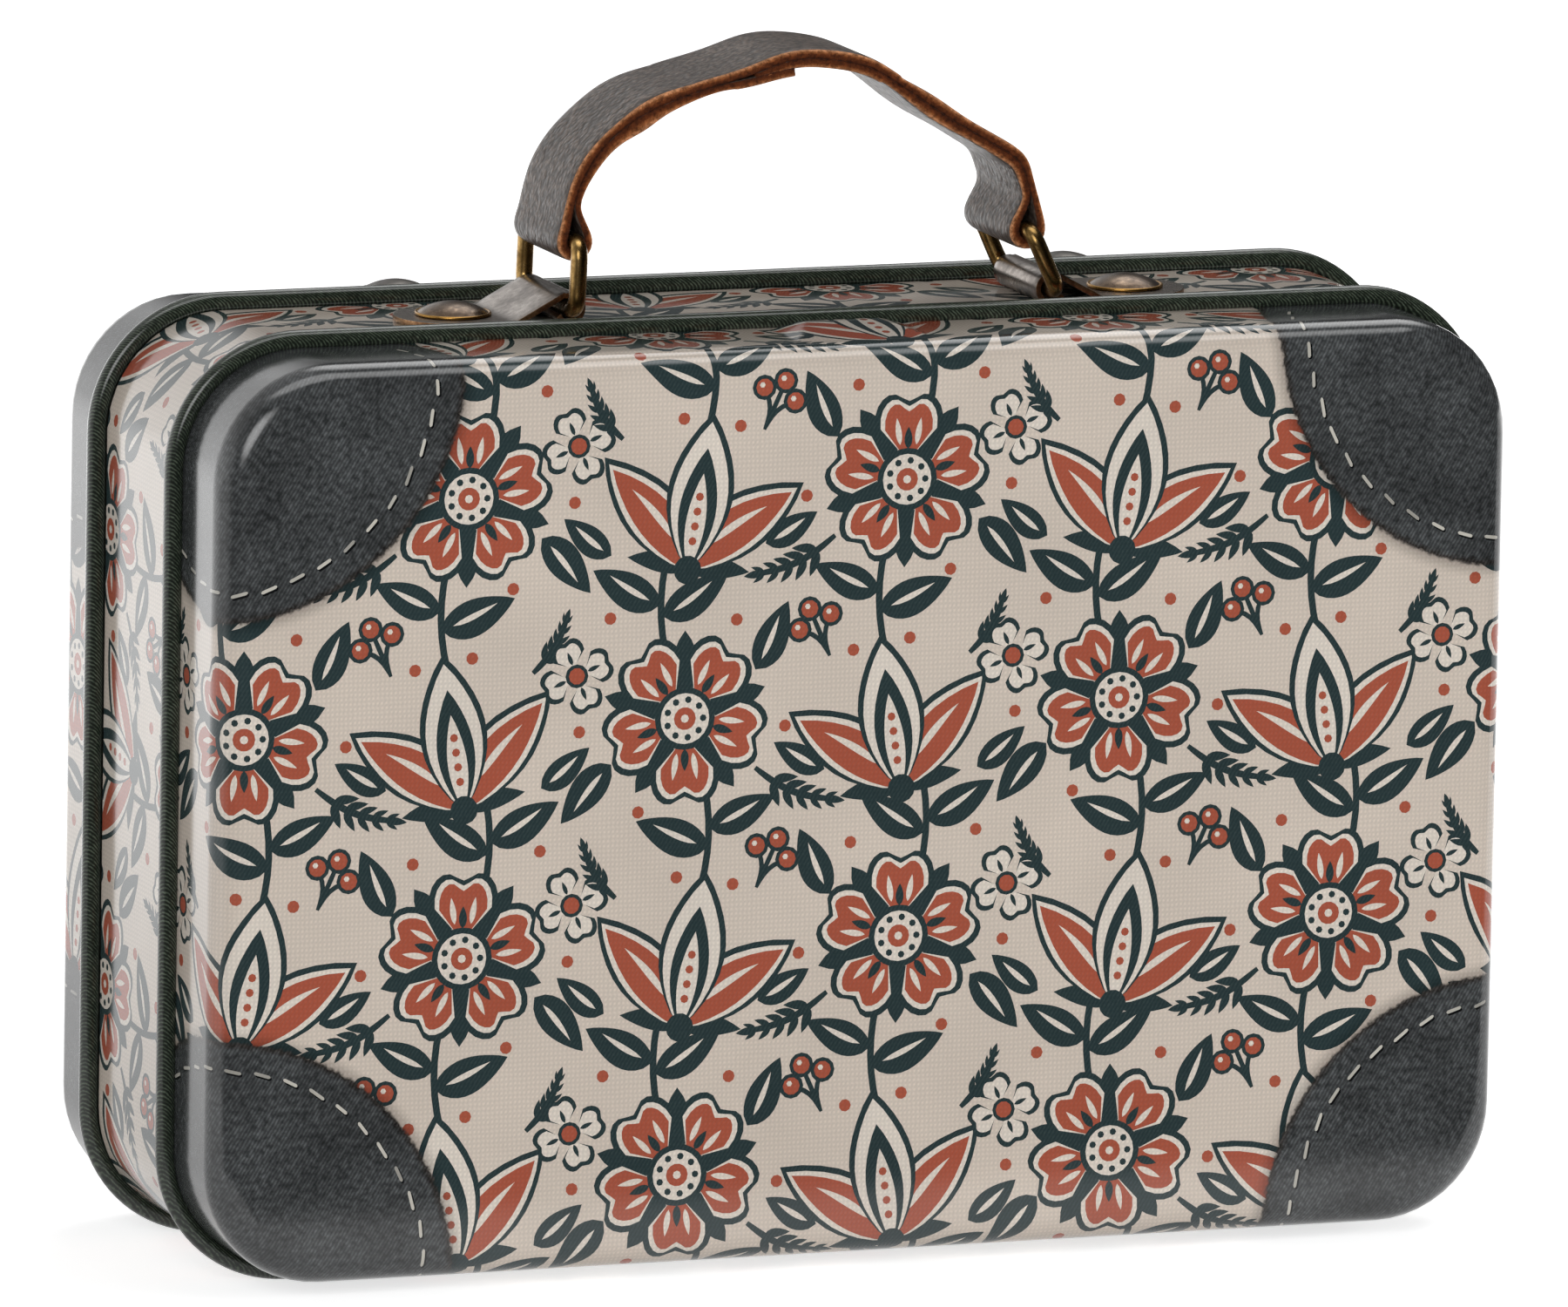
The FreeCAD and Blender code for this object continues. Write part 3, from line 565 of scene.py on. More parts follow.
def printedTin(name, patched):
    f = tinLook
    material, tree = newMaterial(name)
    place = addNode(tree, "ShaderNodeUVMap", uv_map="sheetMap")
    ink = addNode(tree, "ShaderNodeAttribute", attribute_name="inkColour").outputs["Color"]
    weave = []
    for turn, direction, pitch in f["waves"]:
        turned = addNode(tree, "ShaderNodeMapping", {"Vector": place, "Rotation": (0, 0, turn)})
        threads = addNode(tree, "ShaderNodeTexWave", {
            "Vector": turned, "Scale": math.pi / 10 / (f["thread"] * pitch), "Distortion": f["waver"],
            "Detail": 2.0}, bands_direction=direction)
        weave.append(threads.outputs[1])
    groundWeave = addNode(tree, "ShaderNodeMath", {0: weave[0], 1: weave[1]}, operation="MULTIPLY")
    cloud = addNode(tree, "ShaderNodeTexNoise", {"Vector": place, "Scale": 1 / f["cloud"], "Detail": 3.0})
    grain = addNode(tree, "ShaderNodeTexNoise", {"Vector": place, "Scale": 1 / f["grain"], "Detail": 2.0})
    darkWeave = addNode(tree, "ShaderNodeMath", {0: weave[2], 1: grain}, operation="MULTIPLY")
    lighter = addNode(tree, "ShaderNodeMix", {
        "Factor": f["hatchAmount"], "A": ink, "B": linearColour(f["hatch"])}, data_type="RGBA")
    hatch = addNode(tree, "ShaderNodeMix", {"Factor": darkWeave, "A": ink, "B": lighter}, data_type="RGBA")
    tone = addNode(tree, "ShaderNodeMapRange", {0: groundWeave, 3: 0.90, 4: 1.06})
    cloudTone = addNode(tree, "ShaderNodeMapRange", {0: cloud, 1: 0.3, 2: 0.7, 3: 0.95, 4: 1.05})
    tones = addNode(tree, "ShaderNodeMath", {0: tone, 1: cloudTone}, operation="MULTIPLY")
    colour = addNode(tree, "ShaderNodeVectorMath", {0: hatch, "Scale": tones}, operation="SCALE")
    if patched:
        depth = addNode(tree, "ShaderNodeAttribute", attribute_name="patchDepth").outputs["Fac"]
        fray = addNode(tree, "ShaderNodeMath", {0: grain, 1: f["fray"], 2: -f["fray"] / 2},
                       operation="MULTIPLY_ADD")
        ragged = addNode(tree, "ShaderNodeMath", {0: depth, 1: fray}, operation="ADD")
        edge = addNode(tree, "ShaderNodeMapRange", {0: ragged, 1: -0.3, 2: 0.2},
                       interpolation_type="SMOOTHSTEP")
        inner = addNode(tree, "ShaderNodeMapRange", {0: ragged, 1: 0.1, 2: 1.0},
                        interpolation_type="SMOOTHSTEP")
        # a printed shadow falls from the patch onto the ground
        shadow = addNode(tree, "ShaderNodeMapRange", {0: depth, 1: -1.9, 2: 0.1, 3: 1.0, 4: 0.6},
                         interpolation_type="SMOOTHSTEP")
        shaded = addNode(tree, "ShaderNodeVectorMath", {0: colour, "Scale": shadow}, operation="SCALE")
        rub = addNode(tree, "ShaderNodeTexNoise", {
            "Vector": place, "Scale": 1 / f["rub"], "Detail": 6.0, "Roughness": 0.7})
        rubTone = addNode(tree, "ShaderNodeMapRange", {0: rub, 1: 0.32, 2: 0.72, 3: 0.62, 4: 1.6})
        twill = addNode(tree, "ShaderNodeMapRange", {0: darkWeave, 1: 0.05, 2: 0.6, 3: 0.76, 4: 1.5})
        speck = addNode(tree, "ShaderNodeMapRange", {0: grain, 1: 0.3, 2: 0.75, 3: 0.6, 4: 1.45})
        felt = addNode(tree, "ShaderNodeMath", {0: rubTone, 1: twill}, operation="MULTIPLY")
        felted = addNode(tree, "ShaderNodeMath", {0: felt, 1: speck}, operation="MULTIPLY")
        clothColour = addNode(tree, "ShaderNodeMix", {
            "Factor": inner, "A": linearColour(patchForm["fuzz"]), "B": linearColour(patchForm["charcoal"])},
            data_type="RGBA")
        cloth = addNode(tree, "ShaderNodeVectorMath", {0: clothColour, "Scale": felted}, operation="SCALE")
        colour = addNode(tree, "ShaderNodeMix", {"Factor": edge, "A": shaded, "B": cloth}, data_type="RGBA")
        for mask, thread in (("threadShadow", "threadShadow"), ("threadMask", "thread")):
            where = addNode(tree, "ShaderNodeAttribute", attribute_name=mask).outputs["Fac"]
            colour = addNode(tree, "ShaderNodeMix", {
                "Factor": where, "A": colour, "B": linearColour(patchForm[thread])}, data_type="RGBA")
    ripple = addNode(tree, "ShaderNodeTexNoise", {"Vector": place, "Scale": 1 / f["ripple"], "Detail": 2.0})
    relief = addNode(tree, "ShaderNodeMath", {0: ripple, 1: darkWeave}, operation="ADD")
    strength, distance = f["bump"]
    bump = addNode(tree, "ShaderNodeBump", {"Height": relief, "Strength": strength, "Distance": distance})
    rough = addNode(tree, "ShaderNodeMapRange", {0: cloud, 1: 0.3, 2: 0.7, 3: 0.36, 4: 0.5})
    shader = addNode(tree, "ShaderNodeBsdfPrincipled", {
        "Base Color": colour, "Roughness": rough, "Normal": bump, "Coat Weight": 1.0,
        "Coat Roughness": f["varnish"], "Coat IOR": 1.5, "Specular IOR Level": 0.0})
    addNode(tree, "ShaderNodeOutputMaterial", {"Surface": shader})
    return material


# Twill-printed enamel on the curled rims: near black green with fine slanting threads under varnish.
def twillEnamel():
    material, tree = newMaterial("twillPrintedEnamel")
    place = addNode(tree, "ShaderNodeTexCoord").outputs["Object"]
    threads = addNode(tree, "ShaderNodeTexWave", {
        "Vector": place, "Scale": math.pi / 5 / 0.00048, "Distortion": 2.5, "Detail": 2.0},
        bands_direction="DIAGONAL")
    cross = addNode(tree, "ShaderNodeTexNoise", {"Vector": place, "Scale": 1 / 0.0005, "Detail": 2.0})
    weave = addNode(tree, "ShaderNodeMath", {0: threads.outputs[1], 1: cross}, operation="MULTIPLY")
    colour = addNode(tree, "ShaderNodeValToRGB", {0: weave},
                     [(0.05, "#131812"), (0.30, "#262E25"), (0.60, "#505A4C")])
    bump = addNode(tree, "ShaderNodeBump", {"Height": weave, "Strength": 0.12, "Distance": 0.00005})
    shader = addNode(tree, "ShaderNodeBsdfPrincipled", {
        "Base Color": colour, "Roughness": 0.42, "Normal": bump, "Coat Weight": 0.7, "Coat Roughness": 0.13,
        "Specular IOR Level": 0.1})
    addNode(tree, "ShaderNodeOutputMaterial", {"Surface": shader})
    return material


# Bare tinplate inside: bright grey metal with faint rolling lines and a lacquer tint.
def bareTin():
    material, tree = newMaterial("bareTinplate")
    place = addNode(tree, "ShaderNodeTexCoord").outputs["Object"]
    stretched = addNode(tree, "ShaderNodeMapping", {"Vector": place, "Scale": (1, 1, 30)})
    lines = addNode(tree, "ShaderNodeTexNoise", {"Vector": stretched, "Scale": 1 / 0.02, "Detail": 5.0})
    stains = addNode(tree, "ShaderNodeTexNoise", {"Vector": place, "Scale": 1 / 0.012, "Detail": 4.0})
    colour = addNode(tree, "ShaderNodeValToRGB", {0: stains}, [(0.3, "#B2B2AE"), (0.7, "#C6C5C0")])
    rough = addNode(tree, "ShaderNodeMapRange", {0: lines, 1: 0.3, 2: 0.7, 3: 0.28, 4: 0.44})
    shader = addNode(tree, "ShaderNodeBsdfPrincipled", {
        "Base Color": colour, "Metallic": 1.0, "Roughness": rough})
    addNode(tree, "ShaderNodeOutputMaterial", {"Surface": shader})
    return material


# Antiqued metals: dark patina and bright rubbed metal in random blotches.
def antiqueMetal(name, dark, middle, bright, grainSize, roughness, rimmed=None):
    material, tree = newMaterial(name)
    place = addNode(tree, "ShaderNodeTexCoord").outputs["Object"]
    blotch = addNode(tree, "ShaderNodeTexNoise", {
        "Vector": place, "Scale": 1 / grainSize, "Detail": 5.0, "Roughness": 0.62})
    fine = addNode(tree, "ShaderNodeTexNoise", {"Vector": place, "Scale": 8 / grainSize, "Detail": 2.0})
    patina = addNode(tree, "ShaderNodeMath", {0: fine, 1: 0.25, 2: blotch}, operation="MULTIPLY_ADD")
    colour = addNode(tree, "ShaderNodeValToRGB", {0: patina}, [(0.42, dark), (0.60, middle), (0.80, bright)])
    if rimmed:
        rim = addNode(tree, "ShaderNodeAttribute", attribute_name="rimMask").outputs["Fac"]
        colour = addNode(tree, "ShaderNodeMix", {"Factor": rim, "A": colour, "B": linearColour(rimmed)},
                         data_type="RGBA")
    rough = addNode(tree, "ShaderNodeMapRange", {
        0: patina, 1: 0.4, 2: 0.8, 3: roughness + 0.12, 4: roughness - 0.06})
    bump = addNode(tree, "ShaderNodeBump", {"Height": patina, "Strength": 0.15, "Distance": 0.0001})
    shader = addNode(tree, "ShaderNodeBsdfPrincipled", {
        "Base Color": colour, "Metallic": 1.0, "Roughness": rough, "Normal": bump})
    addNode(tree, "ShaderNodeOutputMaterial", {"Surface": shader})
    return material


# Pebbled split leather: soft grey grain with fine creases; a painted dull sheen lightens the raised pebbles
# and painted shade darkens the hollows between them.
def pebbledLeather():
    material, tree = newMaterial("pebbledLeather")
    place = addNode(tree, "ShaderNodeUVMap", uv_map="strapMap")
    pebbles = addNode(tree, "ShaderNodeTexVoronoi", {
        "Vector": place, "Scale": 1 / 0.0006, "Randomness": 1.0}, feature="SMOOTH_F1")
    creases = addNode(tree, "ShaderNodeTexNoise", {"Vector": place, "Scale": 1 / 0.0009, "Detail": 4.0})
    cloud = addNode(tree, "ShaderNodeTexNoise", {"Vector": place, "Scale": 1 / 0.009, "Detail": 3.0})
    tan = addNode(tree, "ShaderNodeValToRGB", {0: cloud},
                  [(0.3, "#453A33"), (0.52, "#574B43"), (0.75, "#6A5E56")])
    # painted sheen on the raised pebble tops and painted shade in the hollows between them
    low = addNode(tree, "ShaderNodeMapRange", {0: pebbles, 1: 0.12, 2: 0.55, 3: 1.5, 4: 0.42})
    colour = addNode(tree, "ShaderNodeVectorMath", {0: tan, "Scale": low}, operation="SCALE")
    relief = addNode(tree, "ShaderNodeMath", {0: creases, 1: pebbles}, operation="SUBTRACT")
    bump = addNode(tree, "ShaderNodeBump", {"Height": relief, "Strength": 0.6, "Distance": 0.0002})
    rough = addNode(tree, "ShaderNodeMapRange", {0: creases, 1: 0.3, 2: 0.7, 3: 0.36, 4: 0.52})
    shader = addNode(tree, "ShaderNodeBsdfPrincipled", {
        "Base Color": colour, "Roughness": rough, "Normal": bump, "Specular IOR Level": 0.25})
    addNode(tree, "ShaderNodeOutputMaterial", {"Surface": shader})
    return material


# Cut leather edge: orange-tan fibres, darker and looser in the core than next to the grain.
def cutLeather():
    material, tree = newMaterial("cutLeatherEdge")
    layer = addNode(tree, "ShaderNodeAttribute", attribute_name="throughLayer").outputs["Fac"]
    place = addNode(tree, "ShaderNodeTexCoord").outputs["Object"]
    fibres = addNode(tree, "ShaderNodeTexNoise", {
        "Vector": place, "Scale": 1 / 0.0006, "Detail": 5.0, "Roughness": 0.7})
    wobble = addNode(tree, "ShaderNodeMath", {0: fibres, 1: 0.3, 2: layer}, operation="MULTIPLY_ADD")
    tan = addNode(tree, "ShaderNodeValToRGB", {0: wobble},
                  [(0.1, "#3C1A08"), (0.52, "#5E2E12"), (0.74, "#8F5630"), (0.9, "#C98E64")])
    speck = addNode(tree, "ShaderNodeMapRange", {0: fibres, 1: 0.36, 2: 0.64, 3: 0.5, 4: 1.4})
    colour = addNode(tree, "ShaderNodeVectorMath", {0: tan, "Scale": speck}, operation="SCALE")
    bump = addNode(tree, "ShaderNodeBump", {"Height": fibres, "Strength": 0.8, "Distance": 0.0004})
    shader = addNode(tree, "ShaderNodeBsdfPrincipled", {
        "Base Color": colour, "Roughness": 0.85, "Normal": bump, "Specular IOR Level": 0.2})
    addNode(tree, "ShaderNodeOutputMaterial", {"Surface": shader})
    return material


lidPrint = printedTin("lithographedTinplateCovers", True)
bandPrint = printedTin("lithographedTinplateBand", False)
rimEnamel = twillEnamel()
insideTin = bareTin()
pewter = antiqueMetal("antiquedPewterSheet", "#56504A", "#756C65", "#989088", 0.006, 0.28)
copperEdge = antiqueMetal("copperBrownEdge", "#4A3326", "#7D5A40", "#A98560", 0.003, 0.38)
brassWire = antiqueMetal("antiquedBrassWire", "#594424", "#7E643B", "#A68857", 0.006, 0.24)
rivetMetal = antiqueMetal("antiquedBrassCap", "#332820", "#4F4135", "#72604F", 0.005, 0.27, "#94703A")
# the cover caps are the same brass as the handle caps; their dull grey tone is a painted reflection of the
# pale surround
greyReflectionCap = antiqueMetal("brassCapPaintedGreyReflection", "#3B3936", "#504D49", "#67635E", 0.005, 0.4)
plainSteel = antiqueMetal("platedSteel", "#7C7A76", "#A5A39E", "#C8C6C1", 0.006, 0.32)
grainLeather = pebbledLeather()
edgeLeather = cutLeather()
print("materials made")

# Covers: a printed outer sheet, a bare inner face and a curled rim each
coverForm = {"cornerSegments": 12, "bendSteps": 6, "wallSteps": 4, "bakeMargin": 2}
bendStops = [bendLength * k / coverForm["bendSteps"] for k in range(coverForm["bendSteps"] + 1)]
wallStops = [bendLength + (sheetReach - bendLength) * k / coverForm["wallSteps"]
             for k in range(1, coverForm["wallSteps"] + 1)]


def sheetLoop(over):
    return roundedLoop(coreWidth + over, coreHeight + over, coreRadius + over, coverForm["cornerSegments"])


def faceInward(builder):
    centre = Vector((0, 0, caseForm["middle"] * mm))
    if sum((f.calc_center_median() - centre).dot(f.normal) * f.calc_area() for f in builder.faces) > 0:
        bmesh.ops.reverse_faces(builder, faces=builder.faces[:])


def makeCover(name, side, body, node):
    reach = (coreWidth + sheetReach, coreHeight + sheetReach)
    lifted = side < 0
    loops = [sheetLoop(over) for over in bendStops + wallStops]
    folds = [loop + loop[:1] for loop in loops[:-1]] + patchArcs()
    if lifted:
        folds += liftGrid()
    shapes = [(points, ink) for points, ink in printedShapes(-reach[0], reach[0], -reach[1], reach[1])
              if min(patchDepth(*p) for p in points) < patchForm["overlap"]]
    shapes += patchStitches(reach)
    span = 2 * reach[0] + coverForm["bakeMargin"]

    def place(u, v):
        return coverPlace(u, v, side, lifted)

    def depthAt(u, v):
        return limited(patchDepth(u, v), -patchForm["depthLimit"], patchForm["depthLimit"])

    def bakePlace(point, middle):
        return (point.x / span + 0.5, point.y / span + 0.5)

    outline = sheetLoop(sheetReach)
    skin = printedSheet(name + "_print", outline, folds, shapes, place, lidPrint, depthAt, bakePlace)
    count = len(loops[0])
    points = [coverPlace(u, v, side, False, caseForm["tin"]) for loop in loops for u, v in loop]
    faces = [list(range(count))] + gridFaces(len(loops), count, flip=True)
    mesh = editMesh(plainMesh(name + "_inside", points, faces), faceInward)
    for piece in (skin, newObject(name + "_inside", mesh, [insideTin])):
        attach(piece, body, node)


makeCover("lid", -1, "lid", "front_lid")
makeCover("rear", 1, "case", "rear_cover")


# Node trees: one sweeps a round wire or curl along any path, for rims and rings, and one sets rivets on
# their places.
def newTree(name, inputs):
    tree = bpy.data.node_groups.new(name, "GeometryNodeTree")
    tree.is_modifier = True
    for label, kind in (("Geometry", "Geometry"), *inputs):
        tree.interface.new_socket(label, in_out="INPUT", socket_type="NodeSocket" + kind)
    tree.interface.new_socket("Geometry", in_out="OUTPUT", socket_type="NodeSocketGeometry")
    return tree


def sweptTubeTree():
    tree = newTree("sweptTube", (("Tube Radius", "Float"), ("Sides", "Int"), ("Metal", "Material")))
    given = addNode(tree, "NodeGroupInput").outputs
    path = addNode(tree, "GeometryNodeMeshToCurve", {"Mesh": given["Geometry"]})
    section = addNode(tree, "GeometryNodeCurvePrimitiveCircle", {
        "Resolution": given["Sides"], "Radius": given["Tube Radius"]})
    tube = addNode(tree, "GeometryNodeCurveToMesh", {
        "Curve": path, "Profile Curve": section, "Fill Caps": True})
    smooth = addNode(tree, "GeometryNodeSetShadeSmooth", {"Geometry": tube})
    real = addNode(tree, "GeometryNodeRealizeInstances", {"Geometry": smooth})
    painted = addNode(tree, "GeometryNodeSetMaterial", {"Geometry": real, "Material": given["Metal"]})
    addNode(tree, "NodeGroupOutput", {0: painted})
    return tree


def rivetTree():
    tree = newTree("rivetsOnPlaces", (("Rivet", "Object"), ("Metal", "Material")))
    given = addNode(tree, "NodeGroupInput").outputs
    places = addNode(tree, "GeometryNodeMeshToPoints", {"Mesh": given["Geometry"]})
    cap = addNode(tree, "GeometryNodeObjectInfo", {"Object": given["Rivet"]}).outputs["Geometry"]
    caps = addNode(tree, "GeometryNodeInstanceOnPoints", {"Points": places, "Instance": cap})
    real = addNode(tree, "GeometryNodeRealizeInstances", {"Geometry": caps})
    smooth = addNode(tree, "GeometryNodeSetShadeSmooth", {"Geometry": real})
    painted = addNode(tree, "GeometryNodeSetMaterial", {"Geometry": smooth, "Material": given["Metal"]})
    addNode(tree, "NodeGroupOutput", {0: painted})
    return tree


def applyTree(piece, tree, values):
    modifier = piece.modifiers.new(tree.name, "NODES")
    modifier.node_group = tree
    for item in tree.interface.items_tree:
        if item.item_type == "SOCKET" and item.in_out == "INPUT" and item.name in values:
            modifier[item.identifier] = values[item.name]
    return bakeModifiers(piece)


tubeTree = sweptTubeTree()
rivetNodes = rivetTree()


def sweptTube(name, paths, radius, sides, material):
    points, edges = [], []
    for path, closed in paths:
        first = len(points)
        points += path
        edges += [(k, k + 1) for k in range(first, len(points) - 1)]
        if closed:
            edges.append((len(points) - 1, first))
    piece = newObject(name, plainMesh(name, points, [], edges=edges))
    return applyTree(piece, tubeTree, {"Tube Radius": radius * mm, "Sides": sides, "Metal": material})


rimForm = {"sides": 20, "cornerSegments": 20}


def rimPath(y):
    offset = caseForm["beadOffset"]
    loop = roundedLoop(caseForm["halfWidth"] + offset, caseForm["halfHeight"] + offset,
                       caseForm["cornerRadius"] + offset, rimForm["cornerSegments"])
    return [(x, y, caseForm["middle"] + z) for x, z in loop]


def lidRimPaths():
    # the curl is cut away where the hinge tabs of the band go round the wire
    y = -caseForm["rim"]
    path = rimPath(y)
    low = path[0][2]
    outer = caseForm["tabPlace"] + caseForm["notchWidth"] / 2
    inner = caseForm["tabPlace"] - caseForm["notchWidth"] / 2
    return [([(outer, y, low)] + path + [(-outer, y, low)], False),
            ([(-inner, y, low), (inner, y, low)], False)]


lidRim = sweptTube("lid_rim", lidRimPaths(), caseForm["beadRadius"], rimForm["sides"], rimEnamel)
attach(lidRim, "lid", "front_lid")
rearPaths = [(rimPath(caseForm["rim"]), True)]
rearRim = sweptTube("rear_rim", rearPaths, caseForm["beadRadius"], rimForm["sides"], rimEnamel)
attach(rearRim, "case", "rear_cover")
print("rim curls swept")

# Body band: a printed outer strip, with bare lips and inside, and two hinge tabs rolled from its edge
bandForm = {"frontLip": 6.0, "rearLip": 12.0, "frontInset": 0.6, "rearInset": 0.35, "cornerSegments": 12,
            "rows": 4, "rowHeight": 26.5, "rowMargin": 0.5, "bare": -6.0, "tabTurn": 290, "tabSteps": 24}


def bandSkin():
    f = bandForm
    edge, r = caseForm["bandEdge"], caseForm["cornerRadius"]
    w, h = caseForm["halfWidth"] - r, caseForm["halfHeight"] - r
    quarter = math.pi * r / 2
    length = 4 * (caseForm["halfWidth"] + caseForm["halfHeight"] - 2 * r) + 2 * math.pi * r
    starts = [w, w + quarter + 2 * h, 3 * w + 2 * quarter + 2 * h, 3 * w + 3 * quarter + 4 * h]
    segments = f["cornerSegments"]
    cuts = [start + quarter * k / segments for start in starts for k in range(segments + 1)]
    # the strip lies in rows on the baked sheet
    rowLength = length / f["rows"]
    cuts += [rowLength * k for k in range(1, f["rows"])]
    folds = [[(t, -edge), (t, edge)] for t in cuts]
    outline = [(0, -edge), (length, -edge), (length, edge), (0, edge)]

    def depthAt(u, v):
        return f["bare"]

    def bakePlace(point, middle):
        row = min(int(middle.x / rowLength), f["rows"] - 1)
        up = row * f["rowHeight"] + point.y + edge + f["rowMargin"]
        return ((point.x - row * rowLength) / (rowLength + 1), up / (rowLength + 1))

    shapes = printedShapes(0, length, -edge, edge)
    return printedSheet("band_print", outline, folds, shapes, bandPlace, bandPrint, depthAt, bakePlace)


def bandInside():
    edge, tin = caseForm["bandEdge"], caseForm["tin"]
    front, rear = bandForm["frontInset"], bandForm["rearInset"]
    frontEnd, rearEnd = -edge - bandForm["frontLip"], edge + bandForm["rearLip"]
    section = [(0, -edge), (front, -edge), (front, frontEnd), (front + tin, frontEnd),
               (front + tin, tin - edge), (tin, tin - edge), (tin, edge - tin), (rear + tin, edge - tin),
               (rear + tin, rearEnd), (rear, rearEnd), (rear, edge), (0, edge)]
    points = []
    for inset, y in section:
        loop = roundedLoop(caseForm["halfWidth"] - inset, caseForm["halfHeight"] - inset,
                           caseForm["cornerRadius"] - inset, bandForm["cornerSegments"])
        points += [(x, y, caseForm["middle"] + z) for x, z in loop]
    faces = gridFaces(len(section), len(points) // len(section))
    return newObject("band_inside", plainMesh("band_inside", points, faces, False), [insideTin])


def hingeTabs():
    points, faces = [], []
    low = caseForm["middle"] - caseForm["halfHeight"]
    centre = (-caseForm["rim"], low - caseForm["beadOffset"])
    outer, inner = caseForm["beadRadius"], caseForm["beadRadius"] - caseForm["tin"]
    steps = bandForm["tabSteps"]
    turns = [math.radians(90 + bandForm["tabTurn"] * k / steps) for k in range(steps + 1)]
    profile = [(-caseForm["bandEdge"], low), (-caseForm["bandEdge"], low + caseForm["tin"])]
    profile += [polar(*centre, a, outer) for a in turns] + [polar(*centre, a, inner) for a in turns[::-1]]
    size = len(profile)
    half = caseForm["tabWidth"] / 2
    for side in (-1, 1):
        first = len(points)
        for x in (side * caseForm["tabPlace"] - half, side * caseForm["tabPlace"] + half):
            points += [(x, y, z) for y, z in profile]
        faces += gridFaces(2, size, first=first)
        faces.append(list(range(first, first + size))[::-1])
        faces.append(list(range(first + size, first + 2 * size)))
    mesh = editMesh(plainMesh("hinge_tabs", points, faces, False), faceOutward)
    return newObject("hinge_tabs", mesh, [rimEnamel])


for piece in (bandSkin(), bandInside(), hingeTabs()):
    attach(piece, "case", "body_band")

# Handle rings: antiqued brass wire
ringForm = {
    "radius": 1.0, "barHeight": 111.9, "barPlace": 30.0, "innerWidth": 16.4, "length": 8.0, "corner": 1.9,
    "cornerSegments": 8, "leftTilt": 2.0, "rightTilt": 25.0, "sides": 18,
}


def ringPlace(side, tilt, rise):
    # a point of the ring's middle plane, rise above its lower bar
    lean = math.radians(tilt)
    x = side * (ringForm["barPlace"] - rise * math.sin(lean))
    return (x, ringForm["barHeight"] + rise * math.cos(lean))


def makeRing(name, side, tilt, body):
    f = ringForm
    path = []
    half = f["innerWidth"] / 2 + f["radius"]
    for y, along in roundedLoop(half, f["length"] / 2, f["corner"], f["cornerSegments"]):
        x, z = ringPlace(side, tilt, along + f["length"] / 2)
        path.append((x, y, z))
    ring = sweptTube(name + "_wire", [(path, True)], f["radius"], f["sides"], brassWire)
    attach(ring, body, name)


makeRing("ring_left", -1, ringForm["leftTilt"], "left_ring")
makeRing("ring_right", 1, ringForm["rightTilt"], "right_ring")
print("handle rings swept")

# Brackets: a riveted tab that rises over the ring's bar and rolls down round it
bracketForm = {
    "width": 14.0, "thickness": 0.6, "bar": 30.0, "rivet": 42.0, "seat": 110.0, "rollRadius": 1.6,
    "ramp": 28.0, "rampStart": 0.6, "rampEase": 0.06, "rollTurn": 268, "edge": 0.14, "edgeSegments": 2,
    "edgeAngle": 50, "endSteps": 12, "padSteps": 6, "rampSteps": 8, "rollSteps": 26, "across": 12,
    "pad": 40.0,
}


def bracketLine():
    # the middle line of the sheet, from its round end over the rivet and the ramp into the roll
    f = bracketForm
    slope = math.radians(f["ramp"])
    level = f["seat"] + f["thickness"] / 2
    axis = f["seat"] + f["rollRadius"] + f["thickness"] / 2
    leaveX, leaveZ = f["bar"] + f["rollRadius"] * math.sin(slope), axis + f["rollRadius"] * math.cos(slope)
    foot = leaveX + (leaveZ - level) / math.tan(slope) + f["rampStart"]
    line = []
    for k in range(f["endSteps"] + 1):
        line.append((f["rivet"] + f["width"] / 2 * math.cos(math.pi / 2 * k / f["endSteps"]), level))
    for k in range(1, f["padSteps"] + 1):
        line.append((f["rivet"] + (foot - f["rivet"]) * k / f["padSteps"], level))
    for k in range(1, f["rampSteps"] + 1):
        t = k / f["rampSteps"]
        climb = max(0.0, t * (1 + f["rampEase"]) - f["rampEase"] * (1 - t))
        line.append((foot + (leaveX - foot) * t, level + (leaveZ - level) * climb))
    for k in range(1, f["rollSteps"] + 1):
        turn = math.pi / 2 - slope + math.radians(f["rollTurn"]) * k / f["rollSteps"]
        line.append(polar(f["bar"], axis, turn, f["rollRadius"]))
    return line


def joinAndFaceUp(builder):
    bmesh.ops.remove_doubles(builder, verts=builder.verts[:], dist=1e-6)
    pad = [face for face in builder.faces if abs(face.calc_center_median().x) > bracketForm["pad"] * mm]
    if pad[0].normal.z < 0:
        bmesh.ops.reverse_faces(builder, faces=builder.faces[:])


def makeBracket(name, side):
    f = bracketForm
    half, across = f["width"] / 2, f["across"]
    line = bracketLine()
    points = []
    for x, z in line:
        beyond = max(x - f["rivet"], 0.0)
        reach = math.sqrt(max(half * half - beyond * beyond, 0.0))
        points += [(side * x, reach * (2 * k / across - 1), z) for k in range(across + 1)]
    mesh = plainMesh(name + "_sheet", points, gridFaces(len(line), across + 1, closed=False))
    piece = newObject(name + "_sheet", editMesh(mesh, joinAndFaceUp), [pewter, copperEdge])
    solid = piece.modifiers.new("thickness", "SOLIDIFY")
    solid.thickness = f["thickness"] * mm
    solid.offset = 0.0
    solid.material_offset_rim = 1
    bevel = piece.modifiers.new("softEdge", "BEVEL")
    bevel.width = f["edge"] * mm
    bevel.segments = f["edgeSegments"]
    bevel.limit_method = "ANGLE"
    bevel.angle_limit = math.radians(f["edgeAngle"])
    attach(bakeModifiers(piece), "case", name)


